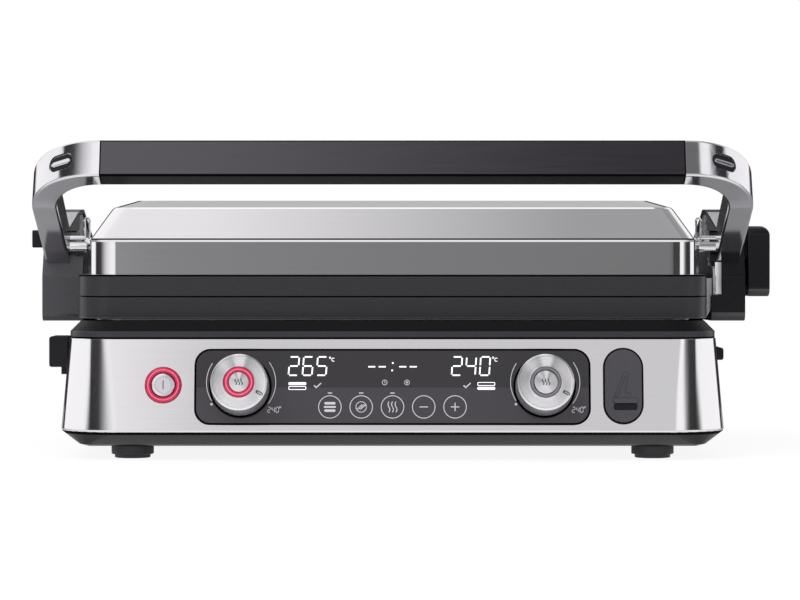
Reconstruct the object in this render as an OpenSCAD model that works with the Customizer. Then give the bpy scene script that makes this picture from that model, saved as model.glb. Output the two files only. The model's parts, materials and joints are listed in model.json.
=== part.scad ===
// Electric contact grill with a hinged lid, in millimetres.
// X runs to the right, Y to the back and Z up. The control panel faces -Y.

/* [Base] */
// Width of the steel shell at its lower edge
base_w = 397.8; // [397:0.2:399]
// Depth of the steel shell at its lower edge
base_d = 330; // [328:1:334]
// Plan radius of the base's corners at the lower edge
base_corner_r = 36; // [34:1:37]
// Height of the steel shell
shell_h = 55.3; // [55:0.1:56]
// How far each side of the shell leans in towards the top
side_lean = 4.9; // [4.5:0.1:5.5]
// How far the front of the shell leans back towards the top
front_lean = 9.8; // [9:0.1:11]
// Height of the feet below the pan
foot_h = 7.7; // [7.5:0.1:8]
// Radius of a foot
foot_r = 12.7; // [12:0.1:14]
// Height of the bottom pan
pan_h = 8.7; // [8.5:0.1:9]

/* [Control panel] */
// Width of the control glass
glass_w = 234; // [232:1:236]
// Height of the control glass
glass_h = 45; // [44:0.5:45]
// Distance between the two knobs
knob_pitch = 180; // [178:1:182]
// Radius of a knob at its base
knob_r = 17.3; // [17:0.1:18]
// Length of a knob in front of the glass
knob_len = 20.5; // [18:0.5:22]

/* [Plates and lid] */
// Width of each grill plate
plate_w = 380; // [378:1:382]
// Depth of each grill plate
plate_d = 248; // [246:1:250]
// Number of ribs on each plate
rib_count = 25; // [19:2:27]
// Height of the visible band of each plate
band_h = 12.8; // [12.6:0.1:13]
// Width of the lid's steel band
lid_w = 368; // [366:1:370]
// Height of the lid's steel band
lid_band_h = 20.5; // [20:0.5:22]
// Height of the lid's bevel
lid_bevel_h = 20; // [19:0.5:21]
// How far the lid can rise for thick food
lid_lift = 12; // [8:1:12]

/* [Handle] */
// Length of the straight handle bar
bar_len = 348.4; // [347:0.2:349]
// Broad side of the bar's section
bar_broad = 23.2; // [22.8:0.1:23.4]
// Narrow side of the bar's section
bar_thick = 15.4; // [15:0.1:15.6]
// Inner face of each side arm from the middle of the grill
arm_x = 198; // [198:1:199]
// Width of each side arm's cover
arm_w = 20; // [19:0.5:20]

/* [Hidden] */
$fn = 48;
loft_fn = 32;
skin = 0.01;
LEFT = -1;
RIGHT = 1;

// Levels of the base, above a datum just over the table
table_z = -2.4;
pan_z = table_z + foot_h;
shell_z = pan_z + pan_h;
deck_z = shell_z + shell_h;
deck_rim_h = 4.2;
deck_chamfer = 6.3;
deck_top_z = deck_z + deck_rim_h + deck_chamfer;
shell_wall = 1.2;
pan_wall = 2.6;
pan_inset = 12;
pan_edge_h = 1.3;
pan_edge_in = 5;
deck_wall = 2.6;
deck_rim_x = 193.5;
deck_r = 28;
corner_taper = 9;
rear_lean = 6;
front_angle = atan(front_lean / shell_h);

// Grill plates: the lower one sits a millimetre above the deck
plate_seat = 1;
plate_gap = 0.8;
plate_r = 20;
plate_y = -7;
plate_rim = 7;
recess_depth = 6.7;
plate_floor = 3.5;
rib_h = 3.5;
lower_face_z = deck_top_z + plate_seat + band_h;
upper_face_z = lower_face_z + plate_gap;
heater_r = 3.2;
heater_run_pitch = 50;
heater_run_half = 140;
heater_drop = recess_depth + plate_floor + heater_r + 0.15;
spout_x = 120;
spout_y = -106;

// Lid
lid_z = upper_face_z + band_h;
lid_d = 236;
lid_r = 17;
lid_wall = 1.2;
lid_bevel_in = 16;
lid_crown_h = 4.4;
lid_crown_in = 12;
frame_top_z = lid_z + 5;

// Hinge frame
hinge_y = 142;
hinge_z = 93.5;
pin_r = 4;
run_gap = 0.05;
shaft_r = 4;
shaft_y = plate_y;
shaft_z = 126;
bar_y = -138.9;
bar_z = 174.3;
bar_tilt = 20.7;
arm_pitch = 30;
bend_r = 36.3;
bend_x = bar_len / 2;
bend_step = 22.5;
arm_run = 67.5;
arm_lean = 2;
tang_x = arm_x + 5.5 - bend_x - bend_r;
end_round = 4.5;
cover_wall = 2.5;
hinge_boss_r = 17;
cover_top_z = 148;
cover_low_z = 78;
cover_front_y = -58;
bracket_x = arm_x + 1;
bracket_t = 4;

// Small controls
knob_z = 41;
power_x = -135.7;
power_z = 42;
probe_x = 136.6;
probe_z = 41.5;
lever_pivot_y = -28;
lever_pivot_z = 108;
release_y = -30;
release_z = 129;
tray_y = -95;
tray_d = 58;
tray_x0 = 40;
tray_x1 = 188;
tray_z = 24;
tray_h = 38;

// Overall reach on each side, which centres the origin under the grill
reach_left = 226.3;
reach_right = 236;
reach_front = -front_y(knob_z) + (knob_len + 0.8) * cos(front_angle) + 16 * sin(front_angle);
reach_back = 170;

// Y of the shell's front face at a height
function front_y(z) = -base_d / 2 + (z - shell_z) * tan(front_angle);
// Y of the shell's rear face at a height
function rear_y(z) = base_d / 2 - (z - shell_z) * rear_lean / shell_h;
// Half-width of the shell at a height
function side_x(z) = base_w / 2 - (z - shell_z) * side_lean / shell_h;

// Moves the grill so that the origin is under the middle of its outer box
module at_origin() {
    translate([(reach_left - reach_right) / 2, (reach_front - reach_back) / 2, -table_z]) children();
}

// Draws a right-hand piece on either side
module on_side(side) {
    mirror([side < 0 ? 1 : 0, 0, 0]) children();
}

// Puts a piece on the leaning front face, with local Z pointing out of it
module on_front(x, z) {
    translate([x, front_y(z), z]) rotate([90 - front_angle, 0, 0]) children();
}

// Extrudes an outline drawn in (Y, Z) along X from x0
module side_extrude(x0, w) {
    translate([x0, 0, 0]) rotate([90, 0, 90]) linear_extrude(w) children();
}

// Extrudes an outline drawn in (X, Z) along Y from y0
module front_extrude(y0, d) {
    translate([0, y0 + d, 0]) rotate([90, 0, 0]) linear_extrude(d) children();
}

// Rectangle with round corners, centred
module rounded_rect(w, d, r) {
    square([w - 2 * r, d], center = true);
    square([w, d - 2 * r], center = true);
    for (x = [-1, 1], y = [-1, 1])
        translate([x * (w / 2 - r), y * (d / 2 - r)]) circle(r);
}

// Thin slab of a plan outline between two Y limits
module plan_slab(half_x, y0, y1, r) {
    translate([0, (y0 + y1) / 2, 0]) linear_extrude(skin)
        rounded_rect(2 * half_x, y1 - y0, r, $fn = loft_fn);
}

// Leaning block between a lower and an upper plan outline, each [half_x, y0, y1, r]
module loft(z0, low, z1, high) {
    hull() {
        translate([0, 0, z0]) plan_slab(low[0], low[1], low[2], low[3]);
        translate([0, 0, z1 - skin]) plan_slab(high[0], high[1], high[2], high[3]);
    }
}

// Plan outline drawn in by a margin on all sides
function inset(plan, m) = [plan[0] - m, plan[1] + m, plan[2] - m, plan[3] - m];

// Plan outlines of the base
function shell_r(z) = base_corner_r - (z - shell_z) * corner_taper / shell_h;
function shell_plan(z) = [side_x(z), front_y(z), rear_y(z), shell_r(z)];
deck_plan = [deck_rim_x, front_y(deck_z) - 0.8, rear_y(deck_z) + 0.8, deck_r];

// Plan outlines of the lid
lid_plan = [lid_w / 2, plate_y - lid_d / 2, plate_y + lid_d / 2, lid_r];
lid_bevel_plan = inset(lid_plan, lid_bevel_in) + [0, 0, 0, 13];
lid_crown_plan = inset(lid_bevel_plan, lid_crown_in) + [0, 0, 0, 6];

// ---------------------------------------------------------------- base

module bottom_pan() {
    vent_pitch = 8;
    vent_count = 9;
    top = shell_plan(shell_z) + [-0.3, 0.3, -0.3, 0];
    low = inset(top, pan_inset) - [0, 0, 0, 16];
    color("#26242a") difference() {
        union() {
            loft(pan_z, inset(low, pan_edge_in), pan_z + pan_edge_h, low);
            loft(pan_z + pan_edge_h - skin, low, shell_z, top);
        }
        loft(pan_z + pan_wall, inset(low, pan_wall), shell_z + 1, inset(top, pan_wall));
        for (x = [-100, 100], i = [0:vent_count - 1])
            translate([x + (i - (vent_count - 1) / 2) * vent_pitch, 40, pan_z])
                cube([3, 60, 20], center = true);
        for (p = screw_places) translate([p[0], p[1], pan_z - 1]) cylinder(r = 1.8, h = 6);
        for (p = screw_places) translate([p[0], p[1], pan_z - 1]) cylinder(r = 3.7, h = 2.4);
        for (x = [-foot_x, foot_x], y = [-foot_y, foot_y])
            translate([x, y, pan_z - 1]) cylinder(r = foot_peg_r, h = 6);
    }
}

foot_x = 156;
foot_y = 132;
foot_peg_r = 4;
screw_places = [[-112, -133], [112, -133], [-95, 138], [95, 138]];

module steel_shell() {
    color("#c9c6cc") difference() {
        loft(shell_z, shell_plan(shell_z), deck_z, shell_plan(deck_z));
        loft(shell_z - 1, inset(shell_plan(shell_z - 1), shell_wall),
             deck_z + 1, inset(shell_plan(deck_z + 1), shell_wall));
        on_front(0, knob_z) translate([0, 0, -10]) linear_extrude(20)
            rounded_rect(glass_w + 0.5, glass_h + 0.5, 9.7);
        on_front(power_x, power_z) translate([0, 0, -10]) cylinder(r = 10.9, h = 20);
        on_front(probe_x, probe_z) translate([0, 0, -10]) linear_extrude(20) rounded_rect(23.8, 45.6, 11.8);
        translate([180, tray_y - tray_d / 2 - 2.3, tray_z - 2]) cube([30, tray_d + 4.6, tray_h + 4.6]);
        translate([-210, tray_y - 7.5, 55.5]) cube([30, 15, 11]);
        translate([gland_x, 140, gland_z]) rotate([-90, 0, 0]) cylinder(r = 6.9, h = 40);
    }
}

gland_x = 120;
gland_z = 27;

module top_deck() {
    tower_r = 4;
    inner = inset(deck_plan, deck_wall);
    color("#1c1a1e") difference() {
        union() {
            difference() {
                union() {
                    translate([0, (deck_plan[1] + deck_plan[2]) / 2, deck_z]) linear_extrude(deck_rim_h)
                        rounded_rect(2 * deck_plan[0], deck_plan[2] - deck_plan[1], deck_plan[3]);
                    loft(deck_z + deck_rim_h, deck_plan, deck_top_z, inset(deck_plan, deck_chamfer));
                }
                loft(deck_z - 1, inner, deck_top_z - deck_wall, inset(inner, deck_chamfer - 1));
            }
            for (p = screw_places) translate([p[0], p[1], pan_z + pan_wall])
                cylinder(r = tower_r, h = deck_top_z - deck_wall - pan_z - pan_wall + 0.5);
            for (x = [-186, 186], y = [plate_y - 100, plate_y + 100])
                translate([x, y, deck_top_z - 1]) cylinder(r = 2.5, h = plate_seat + 1);
        }
        translate([0, plate_y, deck_z - 1]) linear_extrude(30)
            rounded_rect(2 * shield_x + 0.6, shield_d + 0.6, 14);
        for (p = screw_places) translate([p[0], p[1], pan_z]) cylinder(r = 1.55, h = 20);
        for (side = [LEFT, RIGHT]) on_side(side) translate([post_leg_x - 0.3, post_leg_y - 0.3, deck_z])
            cube([post_leg_w + 0.6, post_leg_d + 0.6, 30]);
    }
}

shield_x = 176;
shield_d = 226;
shield_z = 64;
shield_t = 0.8;

module heat_shield() {
    color("#8f8d90") difference() {
        union() {
            translate([0, plate_y, shield_z]) linear_extrude(deck_top_z - shield_z)
                rounded_rect(2 * shield_x, shield_d, 14);
            translate([0, plate_y, deck_top_z]) linear_extrude(shield_t)
                rounded_rect(2 * shield_x + 10, shield_d + 10, 18);
        }
        translate([0, plate_y, shield_z + shield_t]) linear_extrude(40)
            rounded_rect(2 * shield_x - 2 * shield_t, shield_d - 2 * shield_t, 13.2);
        translate([spout_x, spout_y, shield_z - 1]) cylinder(r = 6.5, h = 10);
        for (s = [-1, 1]) translate([-heater_run_half, plate_y + s * heater_run_pitch * 1.5, shield_z - 1])
            cylinder(r = heater_r + 0.6, h = 10);
    }
}

// Serpentine tube of four runs, its centreline at z = 0, with both ends turned down
module heating_element(drop) {
    bend = heater_run_pitch / 2;
    for (i = [0:3])
        translate([-heater_run_half, (i - 1.5) * heater_run_pitch, 0]) rotate([0, 90, 0])
            cylinder(r = heater_r, h = 2 * heater_run_half);
    for (i = [0, 2])
        translate([heater_run_half, (i - 1) * heater_run_pitch, 0]) rotate([0, 0, -90])
            rotate_extrude(angle = 180) translate([bend, 0]) circle(heater_r);
    translate([-heater_run_half, 0, 0]) rotate([0, 0, 90])
        rotate_extrude(angle = 180) translate([bend, 0]) circle(heater_r);
    for (s = [-1, 1]) translate([-heater_run_half, s * 1.5 * heater_run_pitch, 0]) {
        sphere(heater_r);
        translate([0, 0, -drop]) cylinder(r = heater_r, h = drop);
    }
}

module heating_element_lower() {
    color("#6c5f58") translate([0, plate_y, lower_face_z - heater_drop]) heating_element(24);
}

module heating_element_upper() {
    color("#6c5f58") translate([0, plate_y, upper_face_z + heater_drop])
        mirror([0, 0, 1]) heating_element(14);
}

// One ribbed plate: local z = 0 is its meeting face, and the plate lies below it
module grill_plate() {
    in_w = plate_w - 2 * plate_rim;
    in_d = plate_d - 2 * plate_rim;
    rib_pitch = (in_w - 28) / (rib_count - 1);
    half = in_w / 2 - 10;
    ribs = [for (i = [0:rib_count - 1]) let (x = (i - (rib_count - 1) / 2) * rib_pitch)
        each [[x - 3.2, 0], [x - 1.4, rib_h], [x + 1.4, rib_h], [x + 3.2, 0]]];
    difference() {
        translate([0, 0, -band_h]) linear_extrude(band_h) rounded_rect(plate_w, plate_d, plate_r);
        translate([0, 0, -recess_depth]) linear_extrude(20) rounded_rect(in_w, in_d, plate_r - plate_rim);
        translate([0, 0, -band_h - 1]) linear_extrude(band_h - recess_depth - plate_floor + 1)
            rounded_rect(2 * shield_x - 6, shield_d - 6, 12);
    }
    translate([0, 0, -recess_depth]) front_extrude(-in_d / 2 + 12, in_d - 24)
        polygon(concat([[-half, -0.6], [-half, 0]], ribs, [[half, 0], [half, -0.6]]));
}

module lower_plate() {
    color("#3b393d") difference() {
        union() {
            translate([0, plate_y, lower_face_z]) grill_plate();
            translate([spout_x, spout_y, 63]) cylinder(r = 5.2, h = lower_face_z - recess_depth - 63.5);
        }
        translate([spout_x, spout_y, 60]) cylinder(r = 3.6, h = lower_face_z - recess_depth - 58);
    }
}

module upper_plate() {
    color("#3b393d") translate([0, plate_y, upper_face_z]) mirror([0, 0, 1]) grill_plate();
}

// Sensor bulb on a strap, its top face at z = 0
module temperature_sensor() {
    translate([0, 0, -6]) cylinder(r = 5, h = 6);
    translate([-12, -3, -1]) cube([24, 6, 1]);
    translate([0, 0, -9]) cylinder(r = 2, h = 3.5);
}

module temperature_sensor_lower() {
    color("#b8b4ae") translate([60, plate_y, lower_face_z - recess_depth - plate_floor]) temperature_sensor();
}

module temperature_sensor_upper() {
    color("#b8b4ae") translate([60, plate_y, upper_face_z + recess_depth + plate_floor])
        mirror([0, 0, 1]) intersection() {
            temperature_sensor();
            translate([-20, -20, -6.2]) cube([40, 40, 8]);
        }
}

glass_t = 3;
glass_proud = 0.3;

module control_glass() {
    color("#3e3b42") on_front(0, knob_z) difference() {
        translate([0, 0, glass_proud - glass_t]) linear_extrude(glass_t) rounded_rect(glass_w, glass_h, 9.5);
        for (s = [-1, 1]) translate([s * knob_pitch / 2, 0, -5]) cylinder(r = 6.6, h = 10);
    }
}

module control_frame() {
    color("#232226") on_front(0, knob_z) difference() {
        translate([0, 0, board_z]) linear_extrude(-board_z - shell_wall - 0.1) rounded_rect(244, 51, 12);
        translate([0, 0, board_z - 1]) linear_extrude(20) rounded_rect(226, 41, 6);
        translate([0, 0, glass_proud - glass_t - 0.05]) linear_extrude(20)
            rounded_rect(glass_w + 0.8, glass_h + 0.8, 9.9);
    }
}

board_z = -12.4;

module display_module() {
    color("#20252b") on_front(0, knob_z + 6) translate([0, 0, (board_z - 3.1) / 2])
        cube([150, 24, -3.1 - board_z], center = true);
}

module control_board() {
    color("#2f6b46") on_front(0, knob_z) {
        translate([0, 0, board_z - 0.8]) cube([238, 46, 1.6], center = true);
        for (x = [-60:30:60]) translate([x, -8, board_z - 4.5]) cube([14, 10, 6], center = true);
    }
}

encoder_bore_r = 6.05;

module encoder() {
    translate([0, 0, board_z]) difference() {
        linear_extrude(-3 - board_z) square(18, center = true);
        translate([0, 0, 1]) cylinder(r = encoder_bore_r, h = 12);
    }
}

module encoder_left() {
    color("#8b8f94") on_front(-knob_pitch / 2, knob_z) encoder();
}

module encoder_right() {
    color("#8b8f94") on_front(knob_pitch / 2, knob_z) encoder();
}

module power_ring() {
    color("#d8474f") on_front(power_x, power_z) rotate_extrude()
        polygon([[7.2, -2], [10.7, -2], [10.7, 0.6], [9.6, 1.4], [8.2, 1.4], [7.2, 0.6]]);
}

module power_switch() {
    color("#3a3a3a") on_front(power_x, power_z) difference() {
        union() {
            translate([0, 0, -13]) cube([22, 22, 18], center = true);
            translate([0, 0, -4.5]) cylinder(r = 13, h = 3.1);
        }
        translate([0, 0, -16]) cylinder(r = 3.1, h = 20);
        translate([0, 0, -3.9]) cylinder(r = 7.4, h = 5);
        translate([0, 0, -2.05]) cylinder(r = 10.8, h = 5);
    }
}

module power_board() {
    lift = 26;
    color("#2f6b46") translate([-90, 60, lift]) {
        cube([110, 90, 1.6], center = true);
        translate([-28, -18, 12]) cube([34, 30, 22.6], center = true);
        translate([24, -22, 9]) cube([20, 16, 16.6], center = true);
        translate([24, 8, 9]) cube([20, 16, 16.6], center = true);
        translate([-30, 24, 10]) cube([26, 12, 18.6], center = true);
        for (x = [-45, 45], y = [-35, 35]) translate([x, y, pan_z + pan_wall - lift])
            cylinder(r = 2.5, h = lift - pan_z - pan_wall - 0.6);
    }
}

jack_r = 1.8;
jack_len = 14;

module probe_socket() {
    tub_z = -7;
    color("#2a2a2c") on_front(probe_x, probe_z) difference() {
        union() {
            translate([0, 0, tub_z]) linear_extrude(-tub_z - shell_wall - 0.2) rounded_rect(29, 50, 12);
            translate([0, -3, tub_z - 8]) cube([20, 32, 17], center = true);
        }
        translate([0, 0, tub_z + 1.6]) linear_extrude(10) rounded_rect(24.4, 46.2, 10.6);
        translate([0, 0, tub_z + 1.6 - jack_len]) cylinder(r = jack_r, h = jack_len + 1);
    }
}

module tray_rails() {
    color("#8f8d90") for (s = [-1, 1]) translate([0, tray_y, 0]) {
        translate([tray_x0 + 6, s * (tray_d / 2 + 1.2) - 1, pan_z + pan_wall])
            cube([137, 2, 28]);
        translate([tray_x0 + 6, s > 0 ? tray_d / 2 - 8 : -tray_d / 2 - 0.5, pan_z + pan_wall])
            cube([137, 8.5, tray_z - pan_z - pan_wall - 0.2]);
    }
}

module foot(x, y) {
    color("#1e1e20") translate([x, y, table_z]) {
        cylinder(r = foot_r - 2, h = 3);
        translate([0, 0, 2.2]) cylinder(r = foot_r, h = foot_h - 2.2);
        cylinder(r = foot_peg_r - 0.05, h = foot_h + 2.4);
    }
}

module foot_front_left() {
    foot(-foot_x, -foot_y);
}

module foot_front_right() {
    foot(foot_x, -foot_y);
}

module foot_rear_left() {
    foot(-foot_x, foot_y);
}

module foot_rear_right() {
    foot(foot_x, foot_y);
}

module screw(head_r, head_h, shank_r, len) {
    cylinder(r = head_r, h = head_h);
    cylinder(r = shank_r, h = len);
}

module pan_screws() {
    color("#9a9a9e") for (p = screw_places)
        translate([p[0], p[1], pan_z - 0.6]) screw(3.5, 1.9, 1.5, 14);
}

module cord_gland() {
    color("#1e1e20") translate([gland_x, 0, gland_z]) rotate([-90, 0, 0]) difference() {
        union() {
            translate([0, 0, 150]) cylinder(r = 6.6, h = 20);
            translate([0, 0, 165.2]) cylinder(r = 9, h = reach_back - 165.2);
            translate([0, 0, 155]) cylinder(r = 9, h = 6);
        }
        translate([0, 0, 140]) cylinder(r = 4, h = 40);
    }
}

// ---------------------------------------------------------------- rear hinge

post_leg_x = 168;
post_leg_w = 9;
post_leg_y = 130;
post_leg_d = 10;
post_r = 12.4;

module hinge_post(side) {
    leg_z = pan_z + pan_wall;
    color("#2a282c") on_side(side) difference() {
        union() {
            side_extrude(168, 27) {
                translate([hinge_y, hinge_z]) circle(post_r);
                translate([hinge_y - post_r, deck_top_z]) square([2 * post_r, hinge_z - deck_top_z]);
            }
            translate([post_leg_x, post_leg_y, leg_z]) cube([post_leg_w, post_leg_d, deck_top_z - leg_z + 4]);
        }
        side_extrude(160, 40) translate([hinge_y, hinge_z]) circle(pin_r + 0.02);
    }
}

module hinge_post_left() {
    hinge_post(LEFT);
}

module hinge_post_right() {
    hinge_post(RIGHT);
}

module hinge_pin(side) {
    color("#b9b7bb") on_side(side) {
        side_extrude(166, 43.5) translate([hinge_y, hinge_z]) circle(pin_r);
        side_extrude(165.8, 2) translate([hinge_y, hinge_z]) circle(pin_r + 2.5);
    }
}

module hinge_pin_left() {
    hinge_pin(LEFT);
}

module hinge_pin_right() {
    hinge_pin(RIGHT);
}

// ---------------------------------------------------------------- handle frame

module handle_bar() {
    color("#45424a") side_extrude(-bar_len / 2, bar_len) translate([bar_y, bar_z]) rotate(-bar_tilt)
        rounded_rect(bar_thick, bar_broad, 2.2);
}

// Pitch of the round corner between bar and arm, after a turn in degrees
function bend_pitch(turn) = bar_tilt + (arm_pitch - bar_tilt) * turn / 90;

// Frame in the round corner, with local X along it
module along_bend(turn) {
    drop = bend_r * (1 - cos(turn));
    translate([bend_x + bend_r * sin(turn), bar_y + drop * cos(bend_pitch(turn)),
               bar_z - drop * sin(bend_pitch(turn))])
        rotate([-bend_pitch(turn), 0, 0]) rotate([0, 0, turn]) children();
}

// Thin slab across the round corner
module bend_slab(turn) {
    along_bend(turn) rotate([90, 0, 90]) linear_extrude(skin)
        rounded_rect(bar_thick, bar_broad, end_round, $fn = loft_fn);
}

// Frame at the start of the arm, with local Z pointing down along it
module along_arm(run) {
    arm_start_y = bar_y + bend_r * cos(arm_pitch);
    arm_start_z = bar_z - bend_r * sin(arm_pitch);
    translate([bend_x + bend_r, arm_start_y + run * cos(arm_pitch), arm_start_z - run * sin(arm_pitch)])
        rotate([-90 - arm_pitch, 0, 0]) children();
}

module handle_end(side) {
    color("#b5b3b8") on_side(side) difference() {
        union() {
            for (turn = [0 : bend_step : 90 - bend_step]) hull() {
                bend_slab(turn);
                bend_slab(turn + bend_step);
            }
            hull() {
                bend_slab(90);
                along_arm(arm_run) translate([-arm_lean, 0, 0]) linear_extrude(skin)
                    rounded_rect(15, 20, end_round, $fn = loft_fn);
            }
            along_arm(arm_run) translate([tang_x, -6, -1]) cube([7.5, 12, 25]);
        }
        in_recess() linear_extrude(10) rounded_rect(18, 10.5, 5.2);
        for (run = arm_screw_runs) along_arm(run) rotate([0, 90, 0])
            translate([0, 0, -20]) cylinder(r = 2.05, h = 40);
    }
}

arm_screw_runs = [arm_run + 8, arm_run + 18];

// Floor of the oval recess on the outside of the round corner
module in_recess() {
    along_bend(34) rotate([90, 0, 0]) translate([0, 0, bar_thick / 2 - 1.6]) children();
}

module handle_end_left() {
    handle_end(LEFT);
}

module handle_end_right() {
    handle_end(RIGHT);
}

// Caps in the oval recesses of the handle ends
module handle_screws() {
    color("#e4e2e6") for (side = [LEFT, RIGHT]) on_side(side)
        in_recess() linear_extrude(0.8) rounded_rect(13, 3.2, 1.5);
}

module arm_screws() {
    color("#9a9a9e") for (side = [LEFT, RIGHT], run = arm_screw_runs) on_side(side)
        along_arm(run) rotate([0, 90, 0]) translate([0, 0, bracket_x - bend_x - bend_r - 1.2])
            screw(3.6, 1.2, 2, 12);
}

// Side outline of an arm's cover in (Y, Z)
module cover_outline() {
    tail = [[hinge_y, hinge_z + hinge_boss_r], [hinge_y, hinge_z - hinge_boss_r]];
    offset(r = 5) offset(delta = -5) {
        polygon(concat([[cover_front_y, cover_low_z], [cover_front_y, 106], [-42, 133.7],
            [-20, cover_top_z - 1], [8, cover_top_z], [100, 122]], tail));
        translate([hinge_y, hinge_z]) circle(hinge_boss_r);
    }
}

// Front edge of the right steel arm, which shows in a window of its cover
module strip_outline() {
    front = cover_front_y + 0.3;
    polygon([[front, strip_z], [front, 106], [front + 2.9, strip_top_z], [front + 11, strip_top_z],
        [front + 11, strip_z]]);
}

strip_z = 95;
strip_top_z = 111;

// Width of the cover on a side: the right one is a little wider
function cover_w(side) = arm_w + (side == RIGHT ? 1.2 : 0);

// Lip along the cover's front edge, beside the plates
module front_lip() {
    intersection() {
        cover_outline();
        translate([cover_front_y, cover_low_z]) square([9, 40]);
    }
}

module arm_cover(side) {
    color(side == LEFT ? "#4a484d" : "#232125") on_side(side) difference() {
        union() {
            side_extrude(arm_x, cover_w(side)) cover_outline();
            if (side == LEFT) side_extrude(arm_x - 5, 5.5) front_lip();
        }
        side_extrude(arm_x - 1, cover_w(side) - cover_wall + 1) offset(delta = -cover_wall) cover_outline();
        along_arm(arm_run - 2) translate([tang_x - 0.7, -6.6, 0]) cube([8.9, 13.2, 14]);
        if (side == RIGHT) side_extrude(arm_x + 5, arm_w)
            translate([lever_pivot_y, lever_pivot_z]) circle(5 + run_gap);
        if (side == RIGHT) translate([arm_x - 1, cover_front_y - 1, strip_z - 1])
            cube([bracket_t + 3.6, cover_wall + 5, strip_top_z - strip_z + 4.6]);
        if (side == LEFT) translate([arm_x + 5, release_y - 6.3, release_z - 4.3]) cube([arm_w, 12.6, 8.6]);
    }
}

module arm_cover_left() {
    arm_cover(LEFT);
}

module arm_cover_right() {
    arm_cover(RIGHT);
}

module hinge_arm(side) {
    color("#9d9ba0") on_side(side) difference() {
        union() {
            side_extrude(bracket_x, bracket_t) offset(delta = -cover_wall - 0.6) cover_outline();
            if (side == RIGHT) side_extrude(bracket_x, bracket_t) strip_outline();
            if (side == RIGHT) front_extrude(-53, 3) polygon([
                [bracket_x - 3.7, 80], [bracket_x - 3.7, 104.5], [bracket_x + 1, 104.5],
                [bracket_x + 1, 94], [bracket_x - 1, 84]]);
            translate([bracket_x, shaft_y - 5, 86]) cube([13, 10, 3]);
        }
        side_extrude(bracket_x - 1, 10) translate([hinge_y, hinge_z]) circle(pin_r + run_gap);
        side_extrude(bracket_x - 1, 6) {
            translate([shaft_y, shaft_z]) circle(shaft_r + run_gap);
            translate([shaft_y, shaft_z + lid_lift]) circle(shaft_r + run_gap);
            translate([shaft_y - shaft_r - run_gap, shaft_z]) square([2 * (shaft_r + run_gap), lid_lift]);
        }
        side_extrude(bracket_x - 1, 10) {
            translate([50, 112]) circle(9);
            translate([80, 106]) circle(7);
            translate([20, 98]) circle(7);
        }
        for (run = arm_screw_runs) along_arm(run) rotate([0, 90, 0])
            translate([0, 0, -20]) cylinder(r = 2.05, h = 40);
    }
}

module hinge_arm_left() {
    hinge_arm(LEFT);
}

module hinge_arm_right() {
    hinge_arm(RIGHT);
}

// Extension spring that pulls the shaft down, drawn as its outer tube
module float_spring(side) {
    color("#b9b7bb") on_side(side) translate([arm_x + 9, shaft_y, 89]) difference() {
        cylinder(r = 3.4, h = shaft_z - shaft_r - 89.2);
        translate([0, 0, 1.5]) cylinder(r = 2.4, h = shaft_z - shaft_r - 89.2 - 3);
    }
}

module float_spring_left() {
    float_spring(LEFT);
}

module float_spring_right() {
    float_spring(RIGHT);
}

// ---------------------------------------------------------------- lid

module lid_shell() {
    bevel_z = lid_z + lid_band_h;
    top_z = bevel_z + lid_bevel_h;
    lid_y = plate_y;
    color("#cbc8ce") difference() {
        union() {
            translate([0, lid_y, lid_z]) linear_extrude(lid_band_h) rounded_rect(lid_w, lid_d, lid_r);
            loft(bevel_z, lid_plan, top_z, lid_bevel_plan);
            loft(top_z, lid_bevel_plan, top_z + lid_crown_h, lid_crown_plan);
        }
        translate([0, lid_y, lid_z - 1]) linear_extrude(lid_band_h + 1)
            rounded_rect(lid_w - 2 * lid_wall, lid_d - 2 * lid_wall, lid_r - lid_wall);
        loft(bevel_z - skin, inset(lid_plan, lid_wall), top_z, inset(lid_bevel_plan, lid_wall));
        loft(top_z - skin, inset(lid_bevel_plan, lid_wall), top_z + lid_crown_h - lid_wall,
             inset(lid_crown_plan, lid_wall));
        for (side = [LEFT, RIGHT]) on_side(side) side_extrude(150, 50)
            translate([shaft_y, shaft_z]) circle(shaft_r + 0.4);
        translate([-190, 62.6, lid_z + 4.6]) cube([20, 14.8, 10.8]);
    }
}

module lid_frame() {
    skirt_w = lid_w - 2 * lid_wall - 1;
    skirt_d = lid_d - 2 * lid_wall - 1;
    color("#8f8d90") difference() {
        union() {
            difference() {
                translate([0, plate_y, lid_z]) linear_extrude(frame_top_z - lid_z + 1.2)
                    rounded_rect(skirt_w, skirt_d, lid_r - lid_wall);
                translate([0, plate_y, lid_z - 1]) linear_extrude(frame_top_z - lid_z + 1)
                    rounded_rect(skirt_w - 2.4, skirt_d - 2.4, lid_r - lid_wall - 1.2);
            }
            for (side = [LEFT, RIGHT]) on_side(side) translate([148, shaft_y - 12, frame_top_z + 1])
                cube([26, 24, shaft_z + 7 - frame_top_z]);
        }
        for (side = [LEFT, RIGHT]) on_side(side) side_extrude(146, 40)
            translate([shaft_y, shaft_z]) circle(shaft_r + 0.02);
        for (s = [-1, 1]) translate([-heater_run_half, plate_y + s * heater_run_pitch * 1.5, lid_z])
            cylinder(r = heater_r + 0.6, h = 10);
        translate([-190, 62.6, lid_z + 4.6]) cube([24, 14.8, 10.8]);
        for (p = lid_screw_places) translate([p[0], p[1], lid_z]) cylinder(r = 1.7, h = 20);
    }
}

lid_screw_places = [[-165, -100], [165, -100], [-165, 86], [165, 86]];

module lid_screws() {
    color("#9a9a9e") for (p = lid_screw_places)
        translate([p[0], p[1], frame_top_z - 1.6]) screw(3.4, 1.6, 1.6, 12);
}

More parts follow.
